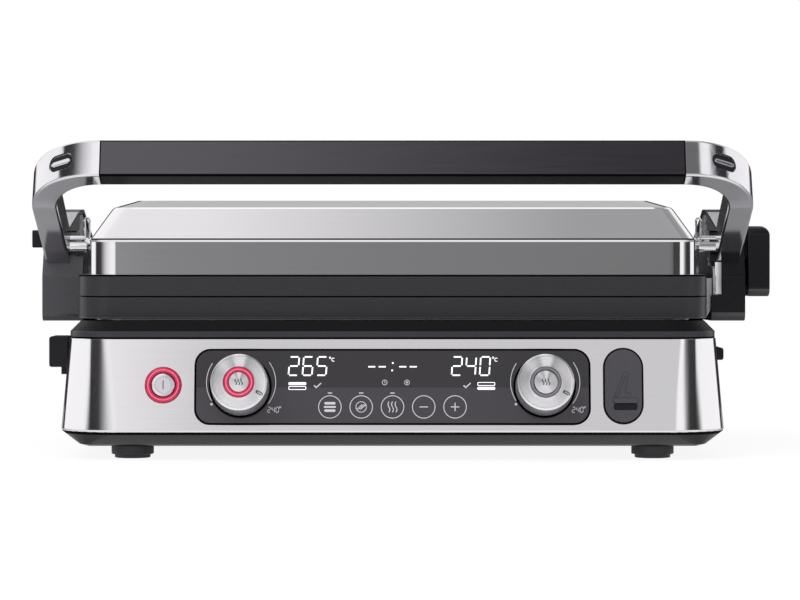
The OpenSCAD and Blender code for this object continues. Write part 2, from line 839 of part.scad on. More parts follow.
module pivot_shaft(side) {
    color("#d9d7dc") on_side(side) {
        side_extrude(150, arm_x + 13.5 - 150) translate([shaft_y, shaft_z]) circle(shaft_r);
        side_extrude(lid_w / 2 + 1, 4) translate([shaft_y, shaft_z]) circle(shaft_r + 2);
    }
}

module pivot_shaft_left() {
    pivot_shaft(LEFT);
}

module pivot_shaft_right() {
    pivot_shaft(RIGHT);
}

// ---------------------------------------------------------------- controls

hub_r = 6;
hub_tail = 9;
knob_gap = 0.8;
press = 1.5;

module knob_body() {
    top = knob_gap + knob_len;
    difference() {
        rotate_extrude() polygon([[2.6, -hub_tail], [hub_r, -hub_tail], [hub_r, top - 6],
            [knob_r - 2, top - 6], [knob_r - 2, knob_gap], [knob_r, knob_gap], [knob_r - 0.6, top - 0.8],
            [knob_r - 1.4, top], [9.1, top], [9.1, top - 4.2], [2.6, top - 4.2]]);
        rotate([0, 0, pointer_angle]) translate([12.6, -0.6, top - 0.9]) cube([8, 1.2, 3]);
    }
}

pointer_angle = -28;

module knob_left() {
    color("#c4c2c7") on_front(-knob_pitch / 2, knob_z) knob_body();
}

module knob_right() {
    color("#c4c2c7") on_front(knob_pitch / 2, knob_z) knob_body();
}

module knob_ring() {
    translate([0, 0, knob_gap + knob_len - 4.2]) difference() {
        cylinder(r = 9, h = 4.6);
        translate([0, 0, -1]) cylinder(r = 7.1, h = 7);
    }
}

module knob_ring_left() {
    color("#d8474f") on_front(-knob_pitch / 2, knob_z) knob_ring();
}

module knob_ring_right() {
    color("#8f8d93") on_front(knob_pitch / 2, knob_z) knob_ring();
}

module select_button() {
    top = knob_gap + knob_len;
    translate([0, 0, top - 2.4]) cylinder(r = 6.9, h = 2.8);
    translate([0, 0, -8.3]) cylinder(r = 2.5, h = top + 6.2);
}

module select_button_left() {
    color("#cfcdd2") on_front(-knob_pitch / 2, knob_z) select_button();
}

module select_button_right() {
    color("#cfcdd2") on_front(knob_pitch / 2, knob_z) select_button();
}

module power_button() {
    color("#d9d7dc") on_front(power_x, power_z) {
        translate([0, 0, -2]) cylinder(r = 6.9, h = 3.4);
        translate([0, 0, -14]) cylinder(r = 3, h = 12.5);
    }
}

module probe_cover() {
    color("#3c3a3e") on_front(probe_x, probe_z) {
        translate([0, 0, -1.6]) linear_extrude(2.6) rounded_rect(23.2, 45, 11.5);
        translate([0, -16, 1]) rounded_ledge();
    }
}

module rounded_ledge() {
    linear_extrude(1.6) rounded_rect(15, 5, 2.2);
}

module height_lever() {
    color("#1d1b1f") intersection() {
        union() {
            side_extrude(222, 14) translate([lever_pivot_y, 115]) rounded_rect(32, 44, 6);
            side_extrude(arm_x + cover_w(RIGHT) + 0.4, 5) translate([lever_pivot_y, lever_pivot_z]) circle(9);
            side_extrude(arm_x + 14, 10) translate([lever_pivot_y, lever_pivot_z]) circle(5);
        }
        front_extrude(-60, 80) {
            translate([arm_x + 14, 115]) rounded_rect(2 * (reach_right - arm_x - 14), 44, 6);
            translate([arm_x + 10, 93]) square([reach_right - arm_x - 10, 20]);
        }
    }
}

module hinge_release_button() {
    cap_x = arm_x + arm_w + 2.6;
    color("#1d1b1f") on_side(LEFT) {
        side_extrude(cap_x, reach_left - cap_x) translate([release_y, release_z]) rounded_rect(18, 11, 2);
        translate([arm_x + 10, release_y - 6, release_z - 4]) cube([cap_x - arm_x - 9, 12, 8]);
    }
}

module lower_release_button() {
    color("#1d1b1f") on_side(LEFT) {
        front_extrude(tray_y - 14, 28) translate([202.95, 60.3]) rounded_rect(11.1, 18.6, 1.6);
        translate([179.4, tray_y - 7, 56]) cube([18.6, 14, 10]);
        translate([198.5, tray_y - 10, 46.5]) cube([3, 20, 7]);
    }
}

module upper_release_button() {
    color("#1d1b1f") on_side(LEFT) {
        side_extrude(lid_w / 2 + 2.8, 4.5) translate([70, lid_z + 10]) rounded_rect(20, 12, 2);
        translate([170, 63, lid_z + 5]) cube([lid_w / 2 + 3 - 170, 14, 10]);
    }
}

module drip_tray() {
    wall = 1.8;
    panel_z0 = tray_z - 1.6;
    panel_z1 = tray_z + tray_h + 2.2;
    color("#2a282c") {
        difference() {
            translate([tray_x0, tray_y - tray_d / 2, tray_z]) cube([tray_x1 - tray_x0, tray_d, tray_h]);
            translate([tray_x0 + wall, tray_y - tray_d / 2 + wall, tray_z + wall])
                cube([tray_x1 - tray_x0 - 2 * wall, tray_d - 2 * wall, tray_h]);
        }
        front_extrude(tray_y - tray_d / 2 - 1.8, tray_d + 3.6) polygon([
            [side_x(panel_z0), panel_z0], [side_x(panel_z1), panel_z1],
            [tray_x1 - 2, panel_z1], [tray_x1 - 2, panel_z0]]);
        front_extrude(tray_y - 18, 36) translate([196.15, 59.1]) rounded_rect(8.7, 7.4, 1.4);
    }
}

at_origin() bottom_pan();
at_origin() steel_shell();
at_origin() top_deck();
at_origin() heat_shield();
at_origin() heating_element_lower();
at_origin() lower_plate();
at_origin() temperature_sensor_lower();
at_origin() control_glass();
at_origin() control_frame();
at_origin() display_module();
at_origin() control_board();
at_origin() encoder_left();
at_origin() encoder_right();
at_origin() power_ring();
at_origin() power_switch();
at_origin() power_board();
at_origin() probe_socket();
at_origin() tray_rails();
at_origin() foot_front_left();
at_origin() foot_front_right();
at_origin() foot_rear_left();
at_origin() foot_rear_right();
at_origin() pan_screws();
at_origin() cord_gland();
at_origin() hinge_post_left();
at_origin() hinge_post_right();
at_origin() hinge_pin_left();
at_origin() hinge_pin_right();
at_origin() handle_bar();
at_origin() handle_end_left();
at_origin() handle_end_right();
at_origin() hinge_arm_left();
at_origin() hinge_arm_right();
at_origin() arm_cover_left();
at_origin() arm_cover_right();
at_origin() arm_screws();
at_origin() handle_screws();
at_origin() float_spring_left();
at_origin() float_spring_right();
at_origin() lid_shell();
at_origin() lid_frame();
at_origin() pivot_shaft_left();
at_origin() pivot_shaft_right();
at_origin() upper_plate();
at_origin() heating_element_upper();
at_origin() temperature_sensor_upper();
at_origin() lid_screws();
at_origin() knob_left();
at_origin() knob_right();
at_origin() knob_ring_left();
at_origin() knob_ring_right();
at_origin() select_button_left();
at_origin() select_button_right();
at_origin() power_button();
at_origin() probe_cover();
at_origin() height_lever();
at_origin() hinge_release_button();
at_origin() lower_release_button();
at_origin() upper_release_button();
at_origin() drip_tray();
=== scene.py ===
"""Contact grill: the finishes, the detailed pieces, the light and the camera.

Lengths are in millimetres, turned to metres by MM. Places are measured from the middle of the base:
X to the right, Y to the back, and Z up from a datum that lies DATUM above the table. The control panel
faces -Y.
"""

import json
import math
from collections import namedtuple

import bmesh
import bpy
from mathutils import Matrix, Vector

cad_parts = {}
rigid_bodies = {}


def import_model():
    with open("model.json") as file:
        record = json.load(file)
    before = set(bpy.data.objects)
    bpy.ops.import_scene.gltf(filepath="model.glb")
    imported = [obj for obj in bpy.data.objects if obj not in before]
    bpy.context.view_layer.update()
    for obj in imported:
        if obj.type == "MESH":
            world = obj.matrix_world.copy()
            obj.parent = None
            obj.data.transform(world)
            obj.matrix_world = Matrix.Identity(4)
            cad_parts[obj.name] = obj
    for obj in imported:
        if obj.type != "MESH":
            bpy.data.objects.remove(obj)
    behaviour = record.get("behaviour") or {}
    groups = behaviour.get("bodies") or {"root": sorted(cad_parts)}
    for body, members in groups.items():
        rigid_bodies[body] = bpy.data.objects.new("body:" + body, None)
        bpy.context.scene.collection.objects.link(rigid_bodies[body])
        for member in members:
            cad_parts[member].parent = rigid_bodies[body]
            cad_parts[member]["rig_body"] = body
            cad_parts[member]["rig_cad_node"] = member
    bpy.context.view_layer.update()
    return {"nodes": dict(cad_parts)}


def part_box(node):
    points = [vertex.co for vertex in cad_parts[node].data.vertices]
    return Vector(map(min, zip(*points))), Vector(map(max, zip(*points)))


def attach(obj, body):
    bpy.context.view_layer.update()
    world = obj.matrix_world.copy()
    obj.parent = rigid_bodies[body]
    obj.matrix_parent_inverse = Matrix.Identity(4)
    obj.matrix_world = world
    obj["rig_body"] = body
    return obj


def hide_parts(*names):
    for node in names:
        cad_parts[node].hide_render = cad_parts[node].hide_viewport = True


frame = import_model()

# ------------------------------------------------------------------ sizes

MM = 0.001
DATUM = 2.4
LEFT, RIGHT = -1, 1
SIDE_NAMES = {RIGHT: "right", LEFT: "left"}

# How finely the pieces are made: steps in a round corner, and angles in degrees between two faces
# that still look smooth, or count as one flat. Points closer than SAME_POINT are one point.
CORNER_STEPS = 20
SMOOTH_ANGLE = 32
FLAT_ANGLE = 0.5
SAME_POINT = 0.005
SPUN_MAP = "angle_and_radius"

# A level outline with round corners: half its width, its front and back edges, and its height
Plan = namedtuple("Plan", "half front back z")

shell_low, shell_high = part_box("steel_shell")
MIDDLE = (shell_low + shell_high) / 2
SHELL_Z = shell_low.z / MM - DATUM
DECK_Z = shell_high.z / MM - DATUM
SIDE_LEAN = 4.9
FRONT_LEAN = 9.8
REAR_LEAN = 6
BASE_CORNER, TOP_CORNER = 36, 27
KNOB_Z = 41
FRONT_ANGLE = math.atan(FRONT_LEAN / (DECK_Z - SHELL_Z))
GLASS_SIZE = (234, 45, 9.5)
GLASS_FACE = 0.3
GLASS_THICK = 3
# The printed glass turns from dark to lighter grey at this height, over twice the blur
TONE_EDGE, TONE_BLUR = KNOB_Z - 0.4, 0.2
KNOB_X = 90
KNOB_FACE, CAP_FACE = 21.3, 21.68
POINTER_TURN = -28
POWER_PLACE = (-135.7, 42)
PROBE_PLACE = (136.6, 41.5)

HALF_BASE = Plan((shell_high.x - shell_low.x) / 2 / MM, (shell_low.y - MIDDLE.y) / MM,
                 (shell_high.y - MIDDLE.y) / MM, SHELL_Z)
SHELL_TOP = Plan(HALF_BASE.half - SIDE_LEAN, HALF_BASE.front + FRONT_LEAN, HALF_BASE.back - REAR_LEAN, DECK_Z)


def at(x, y, z):
    """A point in millimetres from the middle of the base, as a place in the scene."""
    return Vector((MIDDLE.x + x * MM, MIDDLE.y + y * MM, (z + DATUM) * MM))


def front_y(z):
    """The Y of the leaning front face at a height."""
    return HALF_BASE.front + (z - SHELL_Z) * math.tan(FRONT_ANGLE)


def front_place(x, z):
    """The matrix that stands a piece drawn flat on XY up against the leaning front face."""
    across = Vector((1, 0, 0))
    up = Vector((0, math.sin(FRONT_ANGLE), math.cos(FRONT_ANGLE)))
    out = across.cross(up)
    return Matrix.Translation(at(x, front_y(z), z)) @ Matrix((across, up, out)).transposed().to_4x4()


def raised(matrix, height):
    """A matrix moved out along its own Z by a height in millimetres."""
    return matrix @ Matrix.Translation((0, 0, height * MM))


def drawn_in(plan, margin, z):
    """An outline drawn in on all sides, at another height."""
    return Plan(plan.half - margin, plan.front + margin, plan.back - margin, z)


# ------------------------------------------------------------------ modelling

def alone(piece=None):
    """Leaves edit mode and selects one piece, or nothing."""
    if bpy.context.mode != "OBJECT":
        bpy.ops.object.mode_set(mode="OBJECT")
    bpy.ops.object.select_all(action="DESELECT")
    if piece:
        piece.select_set(True)
        bpy.context.view_layer.objects.active = piece


def edit(piece):
    """Opens a piece in edit mode with all of it selected."""
    alone(piece)
    bpy.ops.object.mode_set(mode="EDIT")
    bpy.ops.mesh.select_all(action="SELECT")


def pick(piece, kind, wanted):
    """In edit mode, selects the faces (middle, normal) or edges (end, end) that pass a test."""
    bpy.ops.mesh.select_mode(type=kind)
    bpy.ops.mesh.select_all(action="DESELECT")
    shape = bmesh.from_edit_mesh(piece.data)
    if kind == "FACE":
        for face in shape.faces:
            if wanted(face.calc_center_median(), face.normal):
                face.select_set(True)
    else:
        for edge in shape.edges:
            if wanted(edge.verts[0].co, edge.verts[1].co):
                edge.select_set(True)
    bmesh.update_edit_mesh(piece.data)


def close(piece):
    """Merges doubles, turns the faces outwards and leaves edit mode."""
    bpy.ops.mesh.select_all(action="SELECT")
    bpy.ops.mesh.remove_doubles(threshold=2 * SAME_POINT * MM)
    bpy.ops.mesh.normals_make_consistent(inside=False)
    bpy.ops.object.mode_set(mode="OBJECT")
    return piece


def modify(piece, kind, **settings):
    """Adds a modifier with its settings and applies it."""
    alone(piece)
    modifier = piece.modifiers.new(kind.lower(), kind)
    for name, value in settings.items():
        setattr(modifier, name, value)
    bpy.ops.object.modifier_apply(modifier=modifier.name)
    return piece


def soften(piece, radius, angle=35, miter="MITER_ARC"):
    """Rounds every edge that turns by more than an angle."""
    return modify(piece, "BEVEL", width=radius * MM, segments=2, limit_method="ANGLE",
                  angle_limit=math.radians(angle), miter_outer=miter)


def smooth(piece, angle=SMOOTH_ANGLE):
    """Shades a piece smooth across its gentle edges and flat on its flats."""
    alone(piece)
    bpy.ops.object.shade_smooth_by_angle(angle=math.radians(angle))
    return modify(piece, "WEIGHTED_NORMAL", keep_sharp=True)


def flat_shape(name, width, height, radius, middle=(0, 0, 0), steps=8):
    """A flat face with round corners, centred on a point, left open in edit mode."""
    alone()
    bpy.ops.mesh.primitive_plane_add(size=1, location=[c * MM for c in middle])
    piece = bpy.context.object
    piece.name = name
    piece.scale = (width * MM, height * MM, 1)
    bpy.ops.object.transform_apply(location=True, rotation=True, scale=True)
    edit(piece)
    if radius:
        bpy.ops.mesh.bevel(offset=radius * MM, segments=steps, affect="VERTICES")
    return piece


def plan_shape(name, plan, radius):
    """A level face in the outline of a plan, left open in edit mode."""
    middle = at(0, (plan.front + plan.back) / 2, plan.z) / MM
    return flat_shape(name, 2 * plan.half, plan.back - plan.front, radius, middle, CORNER_STEPS)


def carry_up(old, new):
    """Extrudes the selected outline from one plan to the next."""
    shift = (0, ((new.front + new.back) - (old.front + old.back)) / 2 * MM, (new.z - old.z) * MM)
    stretch = (new.half / old.half, (new.back - new.front) / (old.back - old.front), 1)
    bpy.ops.mesh.extrude_region_move(TRANSFORM_OT_translate={"value": shift})
    bpy.ops.transform.resize(value=stretch, center_override=at(0, (new.front + new.back) / 2, new.z))


def tighten(piece, plan, old_radius, new_radius):
    """Moves the selected outline of a plan from one corner radius to another."""
    shape = bmesh.from_edit_mesh(piece.data)
    middle = at(0, (plan.front + plan.back) / 2, plan.z)
    reach = Vector((plan.half, (plan.back - plan.front) / 2)) * MM
    for point in (v for v in shape.verts if v.select):
        side = [math.copysign(1, c) for c in (point.co - middle)[:2]]
        old_centre = [middle[i] + side[i] * (reach[i] - old_radius * MM) for i in (0, 1)]
        offset = [(point.co[i] - old_centre[i]) * side[i] for i in (0, 1)]
        if min(offset) > -0.001 * MM:
            length = math.hypot(*offset)
            for i in (0, 1):
                centre = middle[i] + side[i] * (reach[i] - new_radius * MM)
                point.co[i] = centre + side[i] * offset[i] / length * new_radius * MM
    bmesh.update_edit_mesh(piece.data)


def thicken(height):
    """Extrudes the selected flat face along Z."""
    bpy.ops.mesh.extrude_region_move(TRANSFORM_OT_translate={"value": (0, 0, height * MM)})


def level_circle(name, ring, sides, fill):
    """A level circle round the Z axis, given as (radius, height), left open in edit mode."""
    alone()
    radius, height = ring
    bpy.ops.mesh.primitive_circle_add(vertices=sides, radius=radius * MM, fill_type=fill,
                                      location=(0, 0, height * MM))
    piece = bpy.context.object
    piece.name = name
    bpy.ops.object.transform_apply(location=True, rotation=True, scale=True)
    edit(piece)
    return piece


def widen(old, new):
    """Scales the selected ring, each given as (radius, height), to the radius of the next."""
    ratio = new[0] / old[0]
    bpy.ops.transform.resize(value=(ratio, ratio, 1), center_override=(0, 0, new[1] * MM))


def turned(name, rings, sides=64):
    """A turned piece standing on Z: a disc carried through rings, each (radius, height)."""
    piece = level_circle(name, rings[0], sides, "NGON")
    for old, new in zip(rings, rings[1:]):
        thicken(new[1] - old[1])
        widen(old, new)
    return close(piece)


def hoop(name, rings):
    """A closed ring that stands on Z: a circle carried through (radius, height) and back to its start."""
    piece = level_circle(name, rings[0], 64, "NOTHING")
    for old, new in zip(rings, rings[1:] + rings[:1]):
        rise = (0, 0, (new[1] - old[1]) * MM)
        bpy.ops.mesh.extrude_edges_move(TRANSFORM_OT_translate={"value": rise})
        widen(old, new)
    return close(piece)


def map_spun(piece):
    """Lays the map of angle and radius over a turned piece that still stands on the origin."""
    spun = piece.data.uv_layers.new(name=SPUN_MAP)
    for face in piece.data.polygons:
        middle = math.atan2(face.center.y, face.center.x)
        for corner in face.loop_indices:
            point = piece.data.vertices[piece.data.loops[corner].vertex_index].co
            swing = math.atan2(point.y, point.x) - middle
            swing = (swing + math.pi) % (2 * math.pi) - math.pi
            spun.data[corner].uv = ((middle + swing) / (2 * math.pi), math.hypot(point.x, point.y) + point.z)
    return piece


def place(piece, matrix):
    """Moves the mesh of a finished piece, whose object stays at the origin."""
    piece.data.transform(matrix)
    if matrix.determinant() < 0:
        piece.data.flip_normals()
    piece.data.update()
    return piece


def twin(piece, name, matrix):
    """A copy with its own mesh, moved by a matrix."""
    copy = piece.copy()
    copy.data = piece.data.copy()
    copy.name = name
    bpy.context.scene.collection.objects.link(copy)
    return place(copy, matrix)


ACROSS = Matrix.Translation((2 * MIDDLE.x, 0, 0)) @ Matrix.Scale(-1, 4, (1, 0, 0))


def cut(piece, cutter):
    """Takes a cutter's shape out of a piece."""
    modify(piece, "BOOLEAN", operation="DIFFERENCE", solver="EXACT", object=cutter)
    bpy.data.objects.remove(cutter)
    return piece


def rod(name, points, radius):
    """A round wire along points, closed at both ends."""
    alone()
    bpy.ops.curve.primitive_bezier_curve_add()
    wire = bpy.context.object
    wire.name = name
    spline = wire.data.splines[0]
    spline.bezier_points.add(len(points) - 2)
    for knot, point in zip(spline.bezier_points, points):
        knot.co = at(*point)
        knot.handle_left_type = knot.handle_right_type = "AUTO"
    wire.data.bevel_depth = radius * MM
    wire.data.bevel_resolution = 3
    wire.data.resolution_u = 8
    wire.data.use_fill_caps = True
    bpy.ops.object.convert(target="MESH")
    return bpy.context.object


def coat(piece, finish):
    """Gives the whole piece one finish."""
    piece.data.materials.clear()
    piece.data.materials.append(finish)
    return piece


def done(piece, finish, slot, body, *nodes):
    """Finishes a piece and hangs it on its body in place of CAD nodes. The slot is not used."""
    if finish:
        coat(piece, finish)
    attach(piece, body)
    if nodes:
        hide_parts(*nodes)
    return piece


def paint(piece, finish, wanted):
    """Gives a second finish to the faces whose middle, in millimetres as in at(), and normal pass a test."""
    piece.data.materials.append(finish)
    index = len(piece.data.materials) - 1
    for face in piece.data.polygons:
        middle = (face.center - at(0, 0, 0)) / MM
        if wanted(middle, face.normal):
            face.material_index = index


def split(piece, *heights):
    """Cuts the faces of a piece along level lines, and keeps both sides."""
    shape = bmesh.new()
    shape.from_mesh(piece.data)
    for z in heights:
        everything = shape.verts[:] + shape.edges[:] + shape.faces[:]
        bmesh.ops.bisect_plane(shape, geom=everything, plane_co=at(0, 0, z), plane_no=(0, 0, 1))
    shape.to_mesh(piece.data)
    shape.free()


def softened(node, radius, finish, slot, bands=(), flatten=True):
    """A copy of a CAD node with its edges rounded, shown in the node's place.

    Each band is a lower and upper height and the finish of the steep faces between them. Flattening
    first makes one face of the loose triangles of each flat.
    """
    source = frame["nodes"][node]
    piece = source.copy()
    piece.data = source.data.copy()
    piece.parent = None
    piece.name = node + "_dressed"
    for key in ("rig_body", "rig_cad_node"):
        del piece[key]
    bpy.context.scene.collection.objects.link(piece)
    edit(piece)
    bpy.ops.mesh.remove_doubles(threshold=SAME_POINT * MM)
    if flatten:
        bpy.ops.mesh.dissolve_limited(angle_limit=math.radians(FLAT_ANGLE))
    bpy.ops.object.mode_set(mode="OBJECT")
    soften(piece, radius, SMOOTH_ANGLE)
    if bands:
        split(piece, *[z for low, high, _ in bands for z in (low, high)])
    smooth(piece)
    done(piece, finish, slot, source["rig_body"], node)
    for low, high, other in bands:
        paint(piece, other, lambda middle, normal: low < middle.z < high and abs(normal.z) < 0.9)
    return piece


# ------------------------------------------------------------------ finishes

def linear(code):
    """An sRGB hex value as linear red, green and blue, with full alpha."""
    parts = [int(code[i:i + 2], 16) / 255 for i in (1, 3, 5)]
    return [c / 12.92 if c <= 0.04045 else ((c + 0.055) / 1.055) ** 2.4 for c in parts] + [1.0]


def level(value):
    """A grey with full alpha."""
    return (value, value, value, 1)


def add(tree, kind, values=None, links=None, stops=None, **settings):
    """Adds a shader node with its settings, the values in its sockets, its links and any ramp stops."""
    node = tree.nodes.new("ShaderNode" + kind)
    for name, value in settings.items():
        setattr(node, name, value)
    for socket, value in (values or {}).items():
        node.inputs[socket].default_value = value
    for socket, source in (links or {}).items():
        tree.links.new(source, node.inputs[socket])
    if stops:
        ramp = node.color_ramp
        while len(ramp.elements) < len(stops):
            ramp.elements.new(1)
        for element, (position, colour) in zip(ramp.elements, stops):
            element.position = position
            element.color = colour
    return node


def finish(name, values, pattern=None):
    """A material with plain values on its surface, and the sockets that a pattern feeds."""
    made = bpy.data.materials.new(name)
    made.use_nodes = True
    tree = made.node_tree
    surface = tree.nodes["Principled BSDF"]
    for socket, value in values.items():
        surface.inputs[socket].default_value = value
    for socket, source in (pattern(tree) if pattern else {}).items():
        tree.links.new(source, surface.inputs[socket])
    return made


def spread_over(tree, noise, low, high):
    """A value that follows noise from low to high."""
    return add(tree, "MapRange", {"From Min": 0.3, "From Max": 0.7, "To Min": low, "To Max": high},
               {"Value": noise}).outputs[0]


def grain(tree, size, detail, height, strength, colours=None, rough=None):
    """Noise of one real size along X, Y and Z, as bump, colour and roughness.

    The size of a speck and the height of the bump are in millimetres.
    """
    spot = add(tree, "TexCoord").outputs["Object"]
    scale = [1 / (s * MM) for s in size]
    spot = add(tree, "Mapping", {"Scale": scale}, {"Vector": spot}).outputs["Vector"]
    noise = add(tree, "TexNoise", {"Scale": 1.0, "Detail": detail}, {"Vector": spot}).outputs[0]
    sockets = {"Normal": add(tree, "Bump", {"Strength": strength, "Distance": height * MM},
                             {"Height": noise}).outputs[0]}
    if colours:
        sockets["Base Color"] = add(tree, "ValToRGB", links={"Fac": noise},
                                    stops=[(0.35, linear(colours[0])), (0.65, linear(colours[1]))]).outputs[0]
    if rough:
        sockets["Roughness"] = spread_over(tree, noise, *rough)
    return sockets


def grained(name, values, *pattern):
    """A material whose whole surface has one grain."""
    return finish(name, values, lambda tree: grain(tree, *pattern))


# Stainless steel, brushed along X: long fine lines that stretch the light up and down
brushed_stainless = grained("brushed_stainless_steel", {"Metallic": 1.0},
                            (90, 0.3, 0.22), 2, 0.002, 0.06, ("#e2e0e3", "#e6e4e7"), (0.05, 0.075))

# Zinc alloy casting with satin chrome plate: bright, a little cloudy
satin_chrome = grained("satin_chrome_casting", {"Metallic": 1.0},
                       (14, 14, 14), 2, 0.006, 0.05, ("#dad8dd", "#e0dee3"), (0.09, 0.12))

# Steel rod with bright chrome plate: a near mirror
bright_chrome = grained("bright_chrome_rod", {"Metallic": 1.0},
                        (8, 8, 8), 2, 0.01, 0.1, ("#d9d8dc", "#e2e1e5"), (0.07, 0.11))

# Aluminium, brushed along the bar and anodised near black
black_anodised = grained("black_anodised_aluminium", {"Metallic": 0.85},
                         (40, 0.45, 0.45), 3, 0.004, 0.1, ("#504d53", "#575459"), (0.13, 0.17))

# Cast aluminium under a dark non-stick coat: even, with a fine sprayed speckle
nonstick_coat = grained("nonstick_coated_casting", {"Metallic": 0.0, "Specular IOR Level": 0.35},
                        (0.9, 0.9, 0.9), 3, 0.01, 0.12, ("#2b292d", "#312f33"), (0.30, 0.38))

# Polypropylene moulding, near black: satin with a fine spark-eroded grain
black_moulding = grained("black_moulded_plastic", {"Metallic": 0.0, "Specular IOR Level": 0.22},
                         (0.7, 0.7, 0.7), 2, 0.01, 0.12, ("#141216", "#19171b"), (0.22, 0.30))

# The same plastic, textured and dull, and painted darker as shade where it lies deep and under the grip
painted_shade_black = grained("painted_shade_black_plastic", {"Metallic": 0.0, "Specular IOR Level": 0.1},
                        (0.7, 0.7, 0.7), 2, 0.01, 0.12, ("#08070a", "#0c0b0e"), (0.40, 0.50))

# Near-black painted shadow, for the dark gaps, seams, grooves and rims where shade falls
painted_shadow = grained("painted_shadow_black", {"Metallic": 0.0, "Specular IOR Level": 0.03},
                  (1.5, 1.5, 1.5), 2, 0.01, 0.1, ("#020203", "#040405"), (0.7, 0.8))

# The same plastic in dark grey: the probe cover's own colour, and elsewhere painted highlight on pale edge
# bands and painted light on the left arm cover
grey_plastic_and_painted_highlight = grained("grey_moulded_plastic", {"Metallic": 0.0},
                        (0.7, 0.7, 0.7), 2, 0.01, 0.12, ("#403e43", "#47454a"), (0.26, 0.34))

# The same black plastic, painted a lighter grey as painted light on the deck's front rim
painted_lit_black = grained("painted_lit_black_plastic", {"Metallic": 0.0, "Specular IOR Level": 0.3},
                             (0.7, 0.7, 0.7), 2, 0.01, 0.12, ("#302e33", "#363439"), (0.26, 0.34))

# Silicone rubber: dull and black, faintly mottled
black_rubber = grained("black_silicone_rubber", {"Metallic": 0.0},
                       (1.2, 1.2, 1.2), 3, 0.03, 0.3, ("#353338", "#3d3b40"), (0.50, 0.62))


def two_tones(tree):
    """The glass's print: dark grey, and a lighter grey below the middle of the knobs."""
    sockets = grain(tree, (30, 30, 30), 1, 0.01, 0.02, rough=(0.05, 0.09))
    height = add(tree, "SeparateXYZ", {}, {0: add(tree, "TexCoord").outputs["Object"]}).outputs["Z"]
    low, high = at(0, 0, TONE_EDGE - TONE_BLUR).z, at(0, 0, TONE_EDGE + TONE_BLUR).z
    share = add(tree, "MapRange", {"From Min": low, "From Max": high}, {"Value": height}).outputs[0]
    sockets["Base Color"] = add(tree, "MixRGB", {1: linear("#3f3b41"), 2: linear("#2b282d")},
                                {0: share}).outputs[0]
    return sockets


# Float glass, printed dark grey on its back in two tones: smooth and glossy
panel_glass = finish("back_printed_glass", {"Metallic": 0.0, "IOR": 1.52}, two_tones)

# Pressed steel, zinc plated: pale grey with a soft spangle
zinc_steel = grained("zinc_plated_steel", {"Metallic": 1.0},
                     (3, 3, 3), 3, 0.02, 0.2, ("#a9a8ad", "#bcbbc0"), (0.26, 0.40))

# Sheathed heating tube, tinted brown by heat
heater_sheath = grained("heat_tinted_sheath", {"Metallic": 1.0},
                        (9, 9, 9), 3, 0.02, 0.3, ("#5f514a", "#83736a"), (0.40, 0.55))

# Glass-fibre circuit board under green solder resist
circuit_board = grained("green_circuit_board", {"Metallic": 0.0},
                        (1.5, 1.5, 1.5), 2, 0.03, 0.3, ("#1f5a37", "#2a6d45"), (0.35, 0.50))


# Painted highlights of a turned face: the brightness painted into its colour around the turn, from 0 to 1
PAINTED_FAN = [(0, 0.7), (0.09, 0.8), (0.15, 1), (0.3, 1), (0.36, 0.9), (0.5, 0.88), (0.62, 0.7), (0.69, 0.5),
       (0.72, 1), (0.77, 1), (0.8, 0.62), (0.87, 0.95), (0.93, 0.7), (1, 0.7)]
TURNED_LINE = 0.35


def spun_lines(tree):
    """Fine circular lines: noise over the turned pieces' own map of angle and radius, and painted highlights
    that fan around the turn.
    """
    way = add(tree, "UVMap", uv_map=SPUN_MAP).outputs["UV"]
    across = 1 / (TURNED_LINE * MM)
    spot = add(tree, "Mapping", {"Scale": (1.5, across, 1)}, {"Vector": way}).outputs["Vector"]
    lines = add(tree, "TexNoise", {"Scale": 1.0, "Detail": 2.0}, {"Vector": spot}).outputs[0]
    colour = add(tree, "ValToRGB", links={"Fac": lines},
                 stops=[(0.35, linear("#eae8ec")), (0.65, linear("#f8f6fa"))]).outputs[0]
    turn = add(tree, "SeparateXYZ", {}, {0: way}).outputs["X"]
    turn = add(tree, "Math", {1: 0.5}, {0: turn}, operation="ADD").outputs[0]
    painted_fan = add(tree, "ValToRGB", {}, {"Fac": turn}, [(share, level(value)) for share, value in PAINTED_FAN]).outputs[0]
    colour = add(tree, "MixRGB", {0: 1.0}, {1: colour, 2: painted_fan}, blend_type="MULTIPLY").outputs[0]
    bump = add(tree, "Bump", {"Strength": 0.1, "Distance": 0.003 * MM}, {"Height": lines}).outputs[0]
    return {"Roughness": spread_over(tree, lines, 0.24, 0.32), "Base Color": colour, "Normal": bump,
            "Tangent": add(tree, "Tangent", direction_type="UV_MAP", uv_map=SPUN_MAP).outputs[0]}


# Turned aluminium: circular lines, with the highlights that fan out from the middle painted into its colour
turned_metal_painted_fan = finish("turned_aluminium", {"Metallic": 1.0, "Anisotropic": 0.8}, spun_lines)

# Aluminium, fine-knurled and dulled: the flank of a knob
knurled_flank = grained("fine_knurled_aluminium", {"Metallic": 0.3},
                        (0.9, 0.9, 40), 2, 0.01, 0.2, ("#747277", "#98969b"), (0.35, 0.45))

# Clear acrylic lit from behind in red, and its brighter core
red_acrylic = grained("red_lit_acrylic", {"Roughness": 0.16, "Emission Strength": 0.16,
                                          "Emission Color": linear("#e0345c")},
                      (4, 4, 4), 1, 0.01, 0.05, ("#b0163f", "#bd1f49"))
red_core = grained("red_lit_acrylic_core", {"Roughness": 0.2, "Emission Strength": 0.3,
                                            "Emission Color": linear("#ff8fa8")},
                   (3, 3, 3), 1, 0.01, 0.05, ("#d04f6e", "#dc6583"))
grey_acrylic = grained("unlit_grey_acrylic", {"Roughness": 0.3},
                       (4, 4, 4), 1, 0.01, 0.05, ("#737177", "#7e7c82"))
